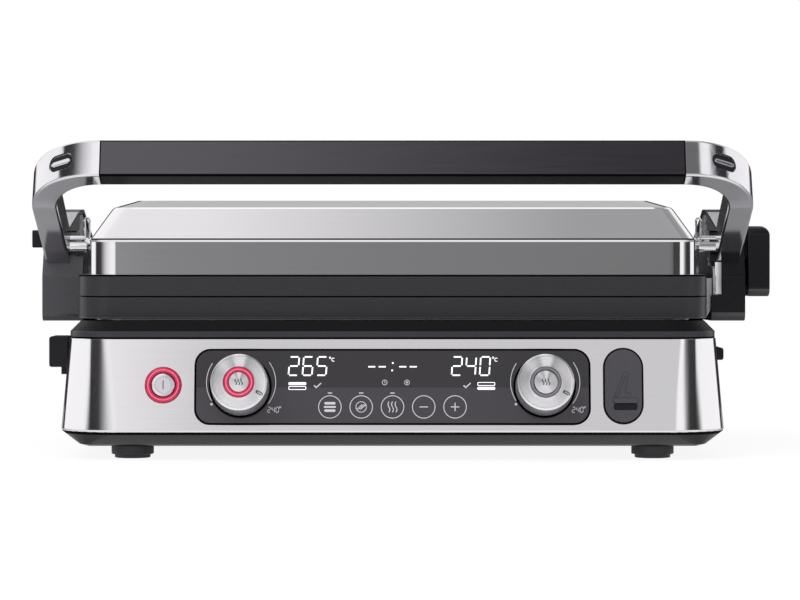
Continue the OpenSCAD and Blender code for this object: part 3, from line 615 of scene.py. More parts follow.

# White light-emitting segments behind the glass, and pale grey screen print with a painted glow
lit_white = grained("white_light_segment", {"Roughness": 0.5, "Emission Strength": 0.9,
                                            "Emission Color": linear("#f4f4f8")},
                    (0.8, 0.8, 0.8), 1, 0.01, 0.05, ("#d9d9de", "#e6e6ea"))
pale_print_painted_glow = grained("pale_screen_print_painted_glow", {"Roughness": 0.45, "Emission Strength": 0.25,
                                           "Emission Color": linear("#c9c8ce")},
                     (0.5, 0.5, 0.5), 1, 0.01, 0.1, ("#b9b8be", "#c5c4ca"))
dark_print = grained("dark_screen_print", {"Roughness": 0.5},
                     (0.5, 0.5, 0.5), 1, 0.01, 0.1, ("#2c2b30", "#343338"))

# ------------------------------------------------------------------ flat print

def bar(x0, y0, x1, y1, width):
    """The outline of a straight stroke."""
    length = math.hypot(x1 - x0, y1 - y0)
    nx, ny = -(y1 - y0) / length * width / 2, (x1 - x0) / length * width / 2
    return [(x0 + nx, y0 + ny), (x0 - nx, y0 - ny), (x1 - nx, y1 - ny), (x1 + nx, y1 + ny)]


def disc(x, y, radius, steps=40):
    """The outline of a disc."""
    turns = [2 * math.pi * i / steps for i in range(steps)]
    return [(x + radius * math.cos(t), y + radius * math.sin(t)) for t in turns]


def arc(x, y, radius, width, start, end, steps):
    """The outline of a curved stroke between two angles in degrees."""
    turns = [math.radians(start + (end - start) * i / steps) for i in range(steps + 1)]
    outer, inner = [[(x + reach * math.cos(t), y + reach * math.sin(t)) for t in turns]
                    for reach in (radius + width / 2, radius - width / 2)]
    return outer + inner[::-1]


def pill(x, y, width, height, radius, steps=5):
    """The outline of a rectangle with round corners."""
    corners = [(1, 1, 0), (-1, 1, 90), (-1, -1, 180), (1, -1, 270)]
    points = []
    for sx, sy, start in corners:
        for i in range(steps + 1):
            t = math.radians(start + 90 * i / steps)
            points.append((x + sx * (width / 2 - radius) + radius * math.cos(t),
                           y + sy * (height / 2 - radius) + radius * math.sin(t)))
    return points


def circle(x, y, outer, inner, steps=40):
    """The two outlines of a ring."""
    return [disc(x, y, outer, steps), disc(x, y, inner, steps)]


def edging(width, height, radius, margin, steps):
    """The two outlines of a band along the edge of a rectangle with round corners."""
    return [pill(0, 0, width, height, radius, steps),
            pill(0, 0, width - 2 * margin, height - 2 * margin, radius - margin, steps)]


def cross(x, y, reach, half):
    """The outline of a plus sign: three points, turned to its four sides."""
    points = [(-reach, -half), (-half, -half), (-half, -reach)]
    return [(x + c * u - s * v, y + s * u + c * v) for c, s in ((1, 0), (0, 1), (-1, 0), (0, -1))
            for u, v in points]


def wave(x, y0, y1, swing, width, steps=16):
    """The outline of an upright wavy stroke."""
    heights = [y0 + (y1 - y0) * i / steps for i in range(steps + 1)]
    middles = [x + swing * math.sin(2 * math.pi * i / steps) for i in range(steps + 1)]
    return ([(m + width / 2, h) for m, h in zip(middles, heights)]
            + [(m - width / 2, h) for m, h in zip(middles, heights)][::-1])


SEGMENTS = {"0": "abcdef", "2": "abged", "4": "fgbc", "5": "afgcd", "6": "afgedc"}
DIGIT_SLANT = 0.07
PRINT_THICK = 0.08


def digit(mark, x, y, width, height, stroke):
    """The lit segments of one seven-segment digit whose lower left corner is at a point."""
    gap = stroke * 0.62
    half = height / 2
    lines = {"a": (gap, height, width - gap, height), "b": (width, height - gap, width, half + gap),
             "c": (width, half - gap, width, gap), "d": (gap, 0, width - gap, 0),
             "e": (0, half - gap, 0, gap), "f": (0, height - gap, 0, half + gap),
             "g": (gap, half, width - gap, half)}
    outlines = []
    for segment in SEGMENTS[mark]:
        outlines.append([(x + px + py * DIGIT_SLANT, y + py) for px, py in bar(*lines[segment], stroke)])
    return outlines


def printed(name, outlines, matrix, finish, slot, body):
    """A thin print of closed outlines, with holes where they nest, laid on a face."""
    shape = bpy.data.curves.new(name, "CURVE")
    shape.dimensions = "2D"
    shape.fill_mode = "BOTH"
    shape.extrude = PRINT_THICK / 2 * MM
    for outline in outlines:
        spline = shape.splines.new("POLY")
        spline.points.add(len(outline) - 1)
        for point, (x, y) in zip(spline.points, outline):
            point.co = (x * MM, y * MM, 0, 1)
        spline.use_cyclic_u = True
    piece = bpy.data.objects.new(name, shape)
    bpy.context.scene.collection.objects.link(piece)
    alone(piece)
    bpy.ops.object.convert(target="MESH")
    piece = bpy.context.object
    edit(piece)
    close(piece)
    return done(place(piece, matrix), finish, slot, body)


# ------------------------------------------------------------------ base

def front_cutter(x, z, width, height, radius):
    """A cutter through the leaning front, which reaches as far before it as behind it."""
    cutter = flat_shape("cutter", width, height, radius, (0, 0, -10), 10)
    thicken(20)
    return place(close(cutter), front_place(x, z))


def plain_cutter(low, high):
    """A square-edged cutter between two corners."""
    middle = [(a + b) / 2 for a, b in zip(low, high)]
    cutter = flat_shape("cutter", high[0] - low[0], high[1] - low[1], 0, (middle[0], middle[1], low[2]))
    thicken(high[2] - low[2])
    return place(close(cutter), Matrix.Translation(at(0, 0, 0)))


def round_cutter(radius, length, matrix):
    """A round cutter along the Z of a matrix."""
    return place(turned("cutter", [(radius, 0), (radius, length)], 48), matrix)


def along_y(x, y, z):
    """The matrix that lays a turned piece along Y from a point."""
    return Matrix.Translation(at(x, y, z)) @ Matrix.Rotation(math.radians(-90), 4, "X")


def along_x(x, y, z):
    """The matrix that lays a turned piece along X from a point."""
    return Matrix.Translation(at(x, y, z)) @ Matrix.Rotation(math.radians(90), 4, "Y")


STEEL_THICK = 1.2
# The steel turns in at its lower edge; round bores and square slots leave a little room for what they hold
SHELL_HEM = drawn_in(HALF_BASE, 0.6, SHELL_Z)
SHELL_FOOT = HALF_BASE._replace(z=SHELL_Z + 1.3)
POWER_HOLE = 21.8
PROBE_HOLE = (23.8, 45.6, 11.89)
GLASS_ROOM = (0.5, 0.5, 0.2)
TRAY_SLOT = (180, -126.3, 22), (210, -63.7, 64.6)
RELEASE_SLOT = (-210, -102.5, 55.5), (-180, -87.5, 66.5)
GLAND_PLACE, GLAND_HOLE = (120, 140, 27), 6.9

shell = plan_shape("steel_shell_brushed", SHELL_HEM, BASE_CORNER)
carry_up(SHELL_HEM, SHELL_FOOT)
carry_up(SHELL_FOOT, SHELL_TOP)
tighten(shell, SHELL_TOP, BASE_CORNER, TOP_CORNER)
pick(shell, "FACE", lambda middle, normal: abs(normal.z) > 0.9)
bpy.ops.mesh.delete(type="FACE")
close(shell)
modify(shell, "SOLIDIFY", thickness=STEEL_THICK * MM, offset=-1)
cut(shell, front_cutter(0, KNOB_Z, *[side + room for side, room in zip(GLASS_SIZE, GLASS_ROOM)]))
cut(shell, front_cutter(*POWER_PLACE, POWER_HOLE, POWER_HOLE, POWER_HOLE / 2 - 0.01))
cut(shell, front_cutter(*PROBE_PLACE, *PROBE_HOLE))
cut(shell, plain_cutter(*TRAY_SLOT))
cut(shell, plain_cutter(*RELEASE_SLOT))
cut(shell, round_cutter(GLAND_HOLE, 40, along_y(*GLAND_PLACE)))
soften(shell, 0.4)
smooth(shell)
done(shell, brushed_stainless, "brushed_steel", "base", "steel_shell")

# Painted shadow: the dark gaps along the black pieces. Painted highlight: their paler edges. Both are bands
# between two heights
# A painted shadow under the steel's lower edge
softened("bottom_pan", 0.5, black_moulding, "deck_black", [(12.6, 14.1, painted_shadow)])
# The deck is painted darker as shade, its rim lighter as painted light, with a painted shadow line at its
# foot
deck = softened("top_deck", 0.5, painted_shade_black, "deck_black",
                [(69, 70.3, painted_shadow), (70.3, 73.7, painted_lit_black)])
DECK_FLAT = 79.5
# The deck's flat top under the lower plate is painted black as shadow
paint(deck, painted_shadow, lambda middle, normal: middle.z > DECK_FLAT and normal.z > 0.9)
softened("control_frame", 0.2, black_moulding, "deck_black")
softened("cord_gland", 0.4, black_moulding, "deck_black")
for node in ("hinge_post_left", "hinge_post_right"):
    softened(node, 0.6, black_moulding, "deck_black")
for node in ("foot_front_left", "foot_front_right", "foot_rear_left", "foot_rear_right"):
    softened(node, 0.6, black_rubber, "rubber")
# A painted highlight along the lower plate's bottom edge, and a painted shadow under the lid's rim on the
# upper plate
softened("lower_plate", 0.7, nonstick_coat, "cast_plate", [(80.4, 81.7, grey_plastic_and_painted_highlight)], flatten=False)
softened("upper_plate", 0.7, nonstick_coat, "cast_plate", [(106.1, 107.3, painted_shadow)], flatten=False)

# ------------------------------------------------------------------ controls

glass = flat_shape("control_glass_panel", *GLASS_SIZE, (0, 0, GLASS_FACE - GLASS_THICK), 12)
thicken(GLASS_THICK)
close(glass)
soften(glass, 0.3)
glass_stand = front_place(0, KNOB_Z)
smooth(place(glass, glass_stand))
done(glass, panel_glass, "panel_glass", "base", "control_glass")
# A painted shadow in the gap round the glass's edge
printed("glass_border", edging(*GLASS_SIZE, 0.9, 10), raised(glass_stand, GLASS_FACE + 0.01), painted_shadow,
        "panel_glass", "base")


def show(name, outlines, finish=lit_white):
    """Puts a print on the glass, drawn from the middle of the panel."""
    return printed(name, outlines, raised(glass_stand, GLASS_FACE + 0.03), finish, "panel_glass", "base")


# Two readings in lit digits, each with a degree ring and a C
DIGIT_BASE, DIGIT_PITCH = 6.9, 8.3
DIGIT_WIDTH, DIGIT_HEIGHT, DIGIT_STROKE = 5.6, 11.0, 0.85
for side, reading, x in (("left", "265", -61.6), ("right", "240", 35.0)):
    marks = circle(x + 24.6, 17.4, 0.62, 0.34, 16) + [arc(x + 26.5, 16.2, 0.95, 0.36, 50, 310, 14)]
    for i, mark in enumerate(reading):
        marks += digit(mark, x + DIGIT_PITCH * i, DIGIT_BASE, DIGIT_WIDTH, DIGIT_HEIGHT, DIGIT_STROKE)
    show("temperature_" + side, marks)
dashes = [bar(x, 12, x + 4.2, 12, 0.8) for x in (-14.4, -8.2, 4.0, 10.2)]
show("timer_dashes", dashes + [pill(0.2, 14.2, 1, 1, 0.3), pill(-0.2, 9.8, 1, 1, 0.3)])

# Two plates, one filled and one in outline, at the heights given
for side, x, filled, hollow in (("left", -56.3, 1.9, -0.7), ("right", 55.5, -0.9, 1.7)):
    show("plate_mark_" + side, [pill(x, filled, 10.5, 1.7, 0.7), pill(x, hollow, 10.5, 2.2, 0.7),
                                pill(x, hollow, 9.7, 1.4, 0.4)])
TICK = [(-2.2, 0.6), (-1.7, 1.1), (-0.6, 0.1), (2.0, 2.5), (2.5, 2.0), (-0.6, -0.9)]
for side, x in (("left", -44.5), ("right", 44.0)):
    show("ready_tick_" + side, [[(x + u, v) for u, v in TICK]], pale_print_painted_glow)
show("timer_mark", circle(-4.6, 2.6, 1.6, 1.25, 24) + [bar(-4.6, 2.5, -4.6, 3.5, 0.3),
                                                       bar(-4.6, 2.3, -3.9, 2.3, 0.3)], pale_print_painted_glow)
show("set_mark", circle(8.6, 2.6, 1.6, 1.25, 24) + [disc(8.6, 2.6, 0.6, 16)], pale_print_painted_glow)

# Five touch keys in a row: a ring each, a mark in it, and a lamp over the first three
TOUCH_V, TOUCH_PITCH = -12.0, 18.5
touch_x = [TOUCH_PITCH * i for i in (-2, -1, 0, 1, 2)]
for i, x in enumerate(touch_x):
    show("touch_ring_%d" % (i + 1), circle(x, TOUCH_V, 6.9, 6.45), pale_print_painted_glow)
stack_x, hatch_x, waves_x, minus_x, plus_x = touch_x
touch_marks = {
    "stack": [pill(stack_x, TOUCH_V + 2.2, 6.6, 1.5, 0.7), pill(stack_x, TOUCH_V, 7.2, 1.1, 0.5),
              pill(stack_x, TOUCH_V - 2.2, 6.6, 1.5, 0.7)],
    "hatch": circle(hatch_x, TOUCH_V, 3.3, 2.9) + [bar(x - 1.5, TOUCH_V - 1.5, x + 1.5, TOUCH_V + 1.5, 0.4)
                                                   for x in (hatch_x - 1, hatch_x, hatch_x + 1)],
    "waves": [wave(waves_x + shift, TOUCH_V - 3.2, TOUCH_V + 3.2, 0.55, 0.55) for shift in (-2.1, 0, 2.1)],
    "minus": [bar(minus_x - 2.5, TOUCH_V, minus_x + 2.5, TOUCH_V, 0.55)],
    "plus": [cross(plus_x, TOUCH_V, 2.5, 0.28)],
}
for name, outlines in touch_marks.items():
    show("touch_mark_" + name, outlines, pale_print_painted_glow)
lamp_v = TOUCH_V + 8.3
show("touch_lamps", [bar(x - 1.3, lamp_v, x + 1.3, lamp_v, 0.6) for x in touch_x[:3]], pale_print_painted_glow)


def half_round(inner, outer, base, height):
    """The section of a ring with a domed top, and a foot that stands in its groove."""
    middle, reach = (inner + outer) / 2, (outer - inner) / 2
    turns = [math.pi * i / 8 for i in range(9)]
    dome = [(middle + reach * math.cos(t), base + height * math.sin(t)) for t in turns]
    foot = base - 3.2
    return [(outer, foot)] + dome + [(inner, foot)]


# A knob from its stem to the rim of its face, and down into the well of its button
KNOB_RINGS = [(6, -9), (6, 15.3), (15.3, 15.3), (15.3, 0.8), (17.0, 0.8), (17.3, 1.1), (17.25, 3),
              (16.8, 20.1), (16.65, 20.6), (16.2, 21.05), (15.7, KNOB_FACE), (15.3, KNOB_FACE),
              (14.9, 21.16), (9.9, 21.16), (9.5, KNOB_FACE), (9.25, 21.25), (9.15, 21.0), (9.15, 17.1),
              (2.6, 17.1)]
KNOB_SHADOW_R = 18.6
POINTER_R = 14.3
pointer_way = Matrix.Rotation(math.radians(POINTER_TURN), 4, "Z")
FRONT_OUT = Vector((0, -math.cos(FRONT_ANGLE), math.sin(FRONT_ANGLE)))

# Each dial: its side, the inner radius of its ring, the radius of its button and the ring's finish
DIALS = {"left": (LEFT, 6.05, 5.9, red_acrylic, "red_ring"),
         "right": (RIGHT, 7.2, 6.9, grey_acrylic, "grey_ring")}
for side, (sign, inner, cap_r, ring_finish, ring_slot) in DIALS.items():
    x = sign * KNOB_X
    body = "dial_" + side
    stand = front_place(x, KNOB_Z)
    # A dark disc on the glass round each knob's foot, a painted shadow that shows as a crescent below the
    # knob
    show("dial_collar_" + side, [disc(x, 0, KNOB_SHADOW_R, 64)], painted_shadow)
    knob = turned("knob_%s_turned" % side, KNOB_RINGS, 96)
    groove = flat_shape("cutter", 3.4, 1.1, 0.54, (POINTER_R, 0, KNOB_FACE - 0.7), 4)
    thicken(3)
    close(groove)
    cut(knob, place(groove, pointer_way))
    smooth(place(map_spun(knob), stand), 25)
    done(knob, turned_metal_painted_fan, "knob_metal", body, "knob_" + side)
    paint(knob, knurled_flank, lambda middle, normal: abs(normal.dot(FRONT_OUT)) < 0.3)
    # A dark outline round the pointer's groove, painted shade along its rim
    groove_shade = [pill(POINTER_R - 0.7, 0, 4.4, 1.9, 0.5), pill(POINTER_R - 0.4, 0, 3.2, 0.9, 0.4)]
    printed("pointer_groove_shade_" + side, groove_shade, raised(stand @ pointer_way, KNOB_FACE - 0.05), dark_print,
            "knob_metal", body)
    ring = hoop("knob_ring_%s_domed" % side, half_round(inner, 9.0, 20.9, 0.8))
    smooth(place(ring, stand))
    done(ring, ring_finish, ring_slot, body, "knob_ring_" + side)
    if sign == LEFT:
        core = hoop("knob_ring_left_core", [(7.9, 21.62), (7.9, 21.74), (7.2, 21.74), (7.2, 21.62)])
        done(smooth(place(core, stand)), red_core, ring_slot, body)
    cap = turned("select_cap_" + side, [(2.5, -7.3), (2.5, 18.9), (cap_r - 0.3, 18.9), (cap_r, 19.2),
                                        (cap_r, 21.3), (cap_r - 0.15, 21.55), (cap_r - 0.5, CAP_FACE),
                                        (0.5, CAP_FACE)])
    smooth(place(map_spun(cap), stand), 25)
    done(cap, turned_metal_painted_fan, "knob_metal", "select_" + side, "select_button_" + side)
    printed("heat_mark_" + side, [wave(shift, -1.9, 1.9, 0.5, 0.6) for shift in (-1.7, 0, 1.7)],
            raised(stand, CAP_FACE + 0.03), dark_print, "knob_metal", "select_" + side)
    # The scale on the glass: an arc on each side, a dot where it starts, and 240 degrees at its end
    scale = [arc(x + 0.4, 2.6, 20.5, 0.42, start, end, 30) for start, end in ((146, 212), (36, -38))]
    scale.append(disc(x - 17, -10.4, 0.75, 16))
    for i, mark in enumerate("240"):
        scale += digit(mark, x + 16.2 + 2.4 * i, -15.3, 1.6, 3.2, 0.4)
    show("dial_scale_" + side, scale + circle(x + 23.6, -12.2, 0.6, 0.3, 14), pale_print_painted_glow)

power_stand = front_place(*POWER_PLACE)
ring = hoop("power_ring_domed", half_round(7.3, 10.7, 0.1, 1.3))
smooth(place(ring, power_stand))
done(ring, red_acrylic, "red_ring", "base", "power_ring")
core = hoop("power_ring_core", [(9.3, 1.3), (9.3, 1.5), (8.7, 1.5), (8.7, 1.3)])
done(smooth(place(core, power_stand)), red_core, "red_ring", "base")
POWER_FACE = 1.4
cap = turned("power_cap", [(3, -14), (3, -2), (6.6, -2), (6.9, -1.7), (6.9, 0.9), (6.7, 1.25),
                           (6.3, POWER_FACE), (5.1, POWER_FACE), (4.95, 1.2), (4.65, 1.2),
                           (4.5, POWER_FACE), (0.5, POWER_FACE)])
smooth(place(cap, power_stand), 25)
done(cap, satin_chrome, "power_cap", "power", "power_button")
printed("power_mark", [bar(0, -2.6, 0, 2.6, 0.55)], raised(power_stand, POWER_FACE + 0.03), dark_print,
        "power_cap", "power")

PROBE_SIZE = (23.2, 45, 11.59)
PROBE_BACK, PROBE_FACE = -1.6, 1.0
probe_stand = front_place(*PROBE_PLACE)
flap = flat_shape("probe_flap", *PROBE_SIZE, (0, 0, PROBE_BACK), 16)
thicken(PROBE_FACE - PROBE_BACK)
close(flap)
soften(flap, 0.6)
smooth(place(flap, probe_stand))
done(flap, grey_plastic_and_painted_highlight, "deck_black", "probe_flap", "probe_cover")
ledge = flat_shape("probe_ledge", 14, 3, 1.2, (1.2, -9, PROBE_FACE - 0.1))
thicken(1.6)
close(ledge)
soften(ledge, 0.5)
smooth(place(ledge, probe_stand))
done(ledge, grey_plastic_and_painted_highlight, "deck_black", "probe_flap")


def on_flap(name, outlines, height, finish):
    """Puts a print on the probe cover, at a height over its face."""
    printed(name, outlines, raised(probe_stand, PROBE_FACE + height), finish, "deck_black", "probe_flap")


# A painted shadow round the probe cover's edge, and a black patch under its ledge as painted shadow
on_flap("probe_flap_painted_shadow_edge", edging(*PROBE_SIZE, 0.7, 12), -0.02, painted_shadow)
on_flap("probe_ledge_painted_shadow", [pill(1.2, -12.4, 14, 4.2, 1.2)], 0, black_moulding)
probe_marks = [bar(-5.5, -6.5, 0.2, 7.2, 0.5), bar(-3.9, -7.2, 1.8, 6.5, 0.5),
               bar(-5.5, -6.5, -3.9, -7.2, 0.5), arc(1.6, 6.6, 1.6, 0.5, 160, -40, 12),
               bar(2.8, 5.4, 1.2, -3.6, 0.5), bar(1.2, -3.6, 4.8, -4.6, 0.5)]
for i, mark in enumerate(probe_marks):
    on_flap("probe_mark_%d" % i, [mark], 0.03, dark_print)

# ------------------------------------------------------------------ handle frame

BAR_Y, BAR_Z = -138.9, 174.3
BAR_THICK, BAR_BROAD, BAR_EDGE = 15.4, 23.2, 1.6
BAR_HALF = 174.2
BAR_TILT, ARM_PITCH = 20.7, 30
BEND_R, BEND_STEP = 36.3, 5
ARM_RUN, ARM_LEAN = 67.5, 2
ARM_THICK, ARM_BROAD = 15, 20
SEAM_WIDTH = 0.8
# The oval recess in each bend: where it sits, its size and depth, and its floor and rib
RECESS_TURN = 34
RECESS_SIZE, RECESS_DEPTH = (18, 10.5, 5.2), 1.6
RECESS_FLOOR, RECESS_RIB = (17.4, 9.9, 4.9), (14.5, 2.2, 1.0)
# A flat section drawn on XY, turned to stand across X
STAND = Matrix(((0, 0, 1, 0), (1, 0, 0, 0), (0, 1, 0, 0), (0, 0, 0, 1)))


def along_bend(turn):
    """The frame in the round corner between bar and arm, its X along the path, after a turn in degrees."""
    pitch = math.radians(BAR_TILT + (ARM_PITCH - BAR_TILT) * turn / 90)
    swing = math.radians(turn)
    drop = BEND_R * (1 - math.cos(swing))
    reach = BAR_HALF + BEND_R * math.sin(swing)
    middle = at(reach, BAR_Y + drop * math.cos(pitch), BAR_Z - drop * math.sin(pitch))
    return Matrix.Translation(middle) @ Matrix.Rotation(-pitch, 4, "X") @ Matrix.Rotation(swing, 4, "Z")


def bar_section(name, proud=0, start=0):
    """The section of the bar and its ends, which may stand proud, left open in edit mode."""
    return flat_shape(name, BAR_THICK + proud, BAR_BROAD + proud, BAR_EDGE, (0, 0, start), 6)


def sweep(piece, old, new):
    """Extrudes the selected section from one frame to the next."""
    bpy.ops.mesh.extrude_region_move(TRANSFORM_OT_translate={"value": (0, 0, 0)})
    shape = bmesh.from_edit_mesh(piece.data)
    move = new @ old.inverted()
    for point in (v for v in shape.verts if v.select):
        point.co = move @ point.co
    bmesh.update_edit_mesh(piece.data)


# The grip and what is joined to it don't show in the lid, which mirrors only the pale room
grip = close(bar_section("handle_grip"))
place(grip, Matrix.Translation((-2 * BAR_HALF * MM, 0, 0)) @ along_bend(0) @ STAND)
edit(grip)
bpy.ops.mesh.extrude_region_move(TRANSFORM_OT_translate={"value": (2 * BAR_HALF * MM, 0, 0)})
close(grip)
soften(grip, 0.35)
smooth(grip)
grip.visible_glossy = False
done(grip, black_anodised, "handle_bar", "handle_frame", "handle_bar")
# Its lower face is painted darker as shade, and its long edges are painted dark as shadow
level_bar = Matrix.Rotation(math.radians(BAR_TILT), 4, "X")
paint(grip, painted_shade_black, lambda middle, normal: (level_bar @ normal).z < -0.9)
paint(grip, painted_shadow, lambda middle, normal: 0.3 < abs((level_bar @ normal).z) < 0.9 and normal.y < 0.9)

# A thin black ring where the bar meets each cast end, a painted shadow in the seam
seam = bar_section("handle_seam_right", 0.02, -SEAM_WIDTH / 2)
thicken(SEAM_WIDTH)
close(seam)
place(seam, along_bend(0) @ STAND)
for piece in (seam, twin(seam, "handle_seam_left", ACROSS)):
    piece.visible_glossy = False
    done(piece, painted_shadow, "handle_bar", "handle_frame")

cast_end = close(bar_section("handle_end_right_cast"))
turns = range(0, 91, BEND_STEP)
place(cast_end, along_bend(0) @ STAND)
edit(cast_end)
for old, new in zip(turns, turns[1:]):
    sweep(cast_end, along_bend(old), along_bend(new))
arm_top = along_bend(90)
arm_taper = Matrix.Diagonal((1, ARM_THICK / BAR_THICK, ARM_BROAD / BAR_BROAD, 1))
sweep(cast_end, arm_top, arm_top @ Matrix.Translation((ARM_RUN * MM, ARM_LEAN * MM, 0)) @ arm_taper)
close(cast_end)
recess_place = along_bend(RECESS_TURN) @ Matrix.Rotation(math.radians(90), 4, "X")
recess_floor = BAR_THICK / 2 - RECESS_DEPTH
oval = flat_shape("cutter", *RECESS_SIZE, (0, 0, recess_floor), 10)
thicken(10)
close(oval)
cut(cast_end, place(oval, recess_place))
soften(cast_end, 0.35)
floor_plate = flat_shape("recess_floor_right", *RECESS_FLOOR, (0, 0, recess_floor - 0.3), 10)
thicken(0.5)
place(close(floor_plate), recess_place)
rib = flat_shape("recess_rib_right", *RECESS_RIB, (0, 0, recess_floor + 0.1), 6)
thicken(0.9)
close(rib)
soften(rib, 0.4)
place(rib, recess_place)
for piece, look in ((floor_plate, black_moulding), (rib, satin_chrome)):
    for part in (piece, twin(piece, piece.name.replace("right", "left"), ACROSS)):
        smooth(part)
        done(part, look, "cast_chrome", "handle_frame")
for piece, side in ((cast_end, "right"), (twin(cast_end, "handle_end_left_cast", ACROSS), "left")):
    smooth(piece)
    piece.visible_glossy = False
    done(piece, satin_chrome, "cast_chrome", "handle_frame", "handle_end_" + side)

# The left cover is painted a lighter grey than the black right one, as painted light; the low bands on the
# right cover and on the lever are painted highlights
softened("arm_cover_left", 0.8, grey_plastic_and_painted_highlight, "cover_black")
softened("arm_cover_right", 0.8, black_moulding, "cover_black", [(77, 83.2, grey_plastic_and_painted_highlight)])
for side in SIDE_NAMES.values():
    softened("hinge_arm_" + side, 0.4, zinc_steel, "inner_steel")
softened("height_lever", 1.2, black_moulding, "cover_black", [(90, 97.6, grey_plastic_and_painted_highlight)])
softened("hinge_release_button", 0.8, black_moulding, "cover_black")
softened("lower_release_button", 0.8, black_moulding, "cover_black")
softened("upper_release_button", 0.6, black_moulding, "cover_black")
softened("drip_tray", 0.6, black_moulding, "deck_black")


def steel_plate(name, outline, thick, finish, slot="inner_steel"):
    """A plate whose face is an outline of (x, y, z) points, thickened away from its front."""
    alone()
    bpy.ops.mesh.primitive_circle_add(vertices=len(outline), radius=MM, fill_type="NGON")
    piece = bpy.context.object
    piece.name = name
    for vertex, point in zip(piece.data.vertices, outline):
        vertex.co = at(*point)
    piece.data.update()
    edit(piece)
    bpy.ops.mesh.extrude_region_move(TRANSFORM_OT_translate={"value": (0, thick * MM, 0)})
    close(piece)
    soften(piece, 0.25)
    smooth(piece)
    return done(piece, finish, slot, "handle_frame")


def slope_y(z):
    """The Y of the sloping front face of an arm's cover at a height: a gentle stretch, then a steep one."""
    return -58 + (z - 106) * 16 / 27.7 if z < 133.7 else -42 + (z - 133.7) * 22 / 13.3


# Between each arm and the lid: a folded gusset on the cover, with a black triangle in its fold as painted
# shadow, a thin stay and a thick sleeve that run to the lid, and two wire loops, all as on the right. A
# gusset has an outline in X and Z, a rod its X from and to, Y, Z and radius, and a loop its X and its lower
# and upper Z.
GUSSETS = (("light", [(198.6, 146), (207.6, 146), (207.6, 134), (203.6, 134)], zinc_steel),
           ("dark", [(197.9, 146), (203.0, 134), (196.6, 134)], black_moulding))
RODS = (("stay", 191.5, 207.5, -51.5, 129.6, 1.3), ("sleeve", 190.5, 207, -51, 123.9, 3.4))
LOOPS = ((206.3, 131, 143), (191.8, 129, 142))
STRIP = (200.2, -57.6), (204.4, -58.05)
STRIP_FOOT, STRIP_TOP = 94.6, 114.5

for sign, side in SIDE_NAMES.items():
    for kind, outline, look in GUSSETS:
        steel_plate("gusset_%s_%s" % (kind, side), [(sign * x, slope_y(z) - 1.4, z) for x, z in outline], 1.2,
                    look)
    for name, x0, x1, y, z, radius in RODS:
        piece = turned("%s_rod_%s" % (name, side), [(radius - 0.3, 0), (radius, 0.4), (radius, x1 - x0 - 0.4),
                                                    (radius - 0.3, x1 - x0)], 40)
        place(piece, along_x(x0 if sign == RIGHT else -x1, y, z))
        smooth(piece)
        done(piece, bright_chrome, "cast_chrome", "handle_frame")
    for x, z0, z1 in LOOPS:
        middle = (z0 + z1) / 2
        knots = [(x, -52, z0), (x + 0.3, -51.6, middle), (x - 1.2, -51, z1), (x - 2.6, -50.6, middle),
                 (x - 2.2, -50.6, z0)]
        piece = rod("spring_loop_%s_%d" % (side, x), [(sign * u, v, w) for u, v, w in knots], 0.7)
        smooth(piece)
        done(piece, bright_chrome, "fasteners", "handle_frame")
strip_face = [(x, y, STRIP_FOOT) for x, y in STRIP] + [(x, y, STRIP_TOP) for x, y in STRIP[::-1]]
steel_plate("arm_strip_right", strip_face, 2.4, bright_chrome, "cast_chrome")

# ------------------------------------------------------------------ lid

LID_Z, LID_CORNER = 107.2, 17
LID_BEAD, LID_SEAM = LID_Z + 20.9, LID_Z + 21.8
LID_WALL = Plan(184, -125, 111, LID_Z)
LID_CROWN = Plan(156, LID_WALL.front + 28, LID_WALL.back - 28, LID_Z + 44.9)
# From the rim up: the band, a rolled bead, the seam, the bevel, a narrow facet and the crown. The
# bevel and the facet are drawn in less at the sides than in front.
LID_STEPS = [drawn_in(LID_WALL, 0.4, LID_Z), drawn_in(LID_WALL, 0.4, LID_Z + 19.7),
             drawn_in(LID_WALL, 0, LID_BEAD), drawn_in(LID_WALL, 0.9, LID_BEAD + 0.05),
             drawn_in(LID_WALL, 0.95, LID_SEAM),
             drawn_in(LID_WALL, 15.4, LID_Z + 39.75)._replace(half=LID_WALL.half - 13),
             drawn_in(LID_WALL, 16.5, LID_Z + 40.6)._replace(half=LID_WALL.half - 14.2), LID_CROWN]
SHAFT_PLACE, SHAFT_HOLE = (-7, 126), 4.4
UPPER_RELEASE_SLOT = (-190, 62.6, LID_Z + 4.6), (-170, 77.4, LID_Z + 15.4)

lid = plan_shape("lid_shell_brushed", LID_STEPS[0], LID_CORNER)
for old, new in zip(LID_STEPS, LID_STEPS[1:]):
    carry_up(old, new)
pick(lid, "FACE", lambda middle, normal: normal.z < -0.9)
bpy.ops.mesh.delete(type="FACE")
close(lid)
modify(lid, "SOLIDIFY", thickness=STEEL_THICK * MM, offset=-1, use_even_offset=True)
for x in (-210, 150):
    cut(lid, round_cutter(SHAFT_HOLE, 60, along_x(x, *SHAFT_PLACE)))
cut(lid, plain_cutter(*UPPER_RELEASE_SLOT))
soften(lid, 0.15, angle=12, miter="MITER_SHARP")
smooth(lid, 11)
done(lid, brushed_stainless, "brushed_steel", "lid", "lid_shell")
# The groove between the bead and the seam is painted black as shadow
paint(lid, painted_shadow, lambda middle, normal: LID_BEAD < middle.z < LID_SEAM + 0.05)

# ------------------------------------------------------------------ CAD nodes that stay

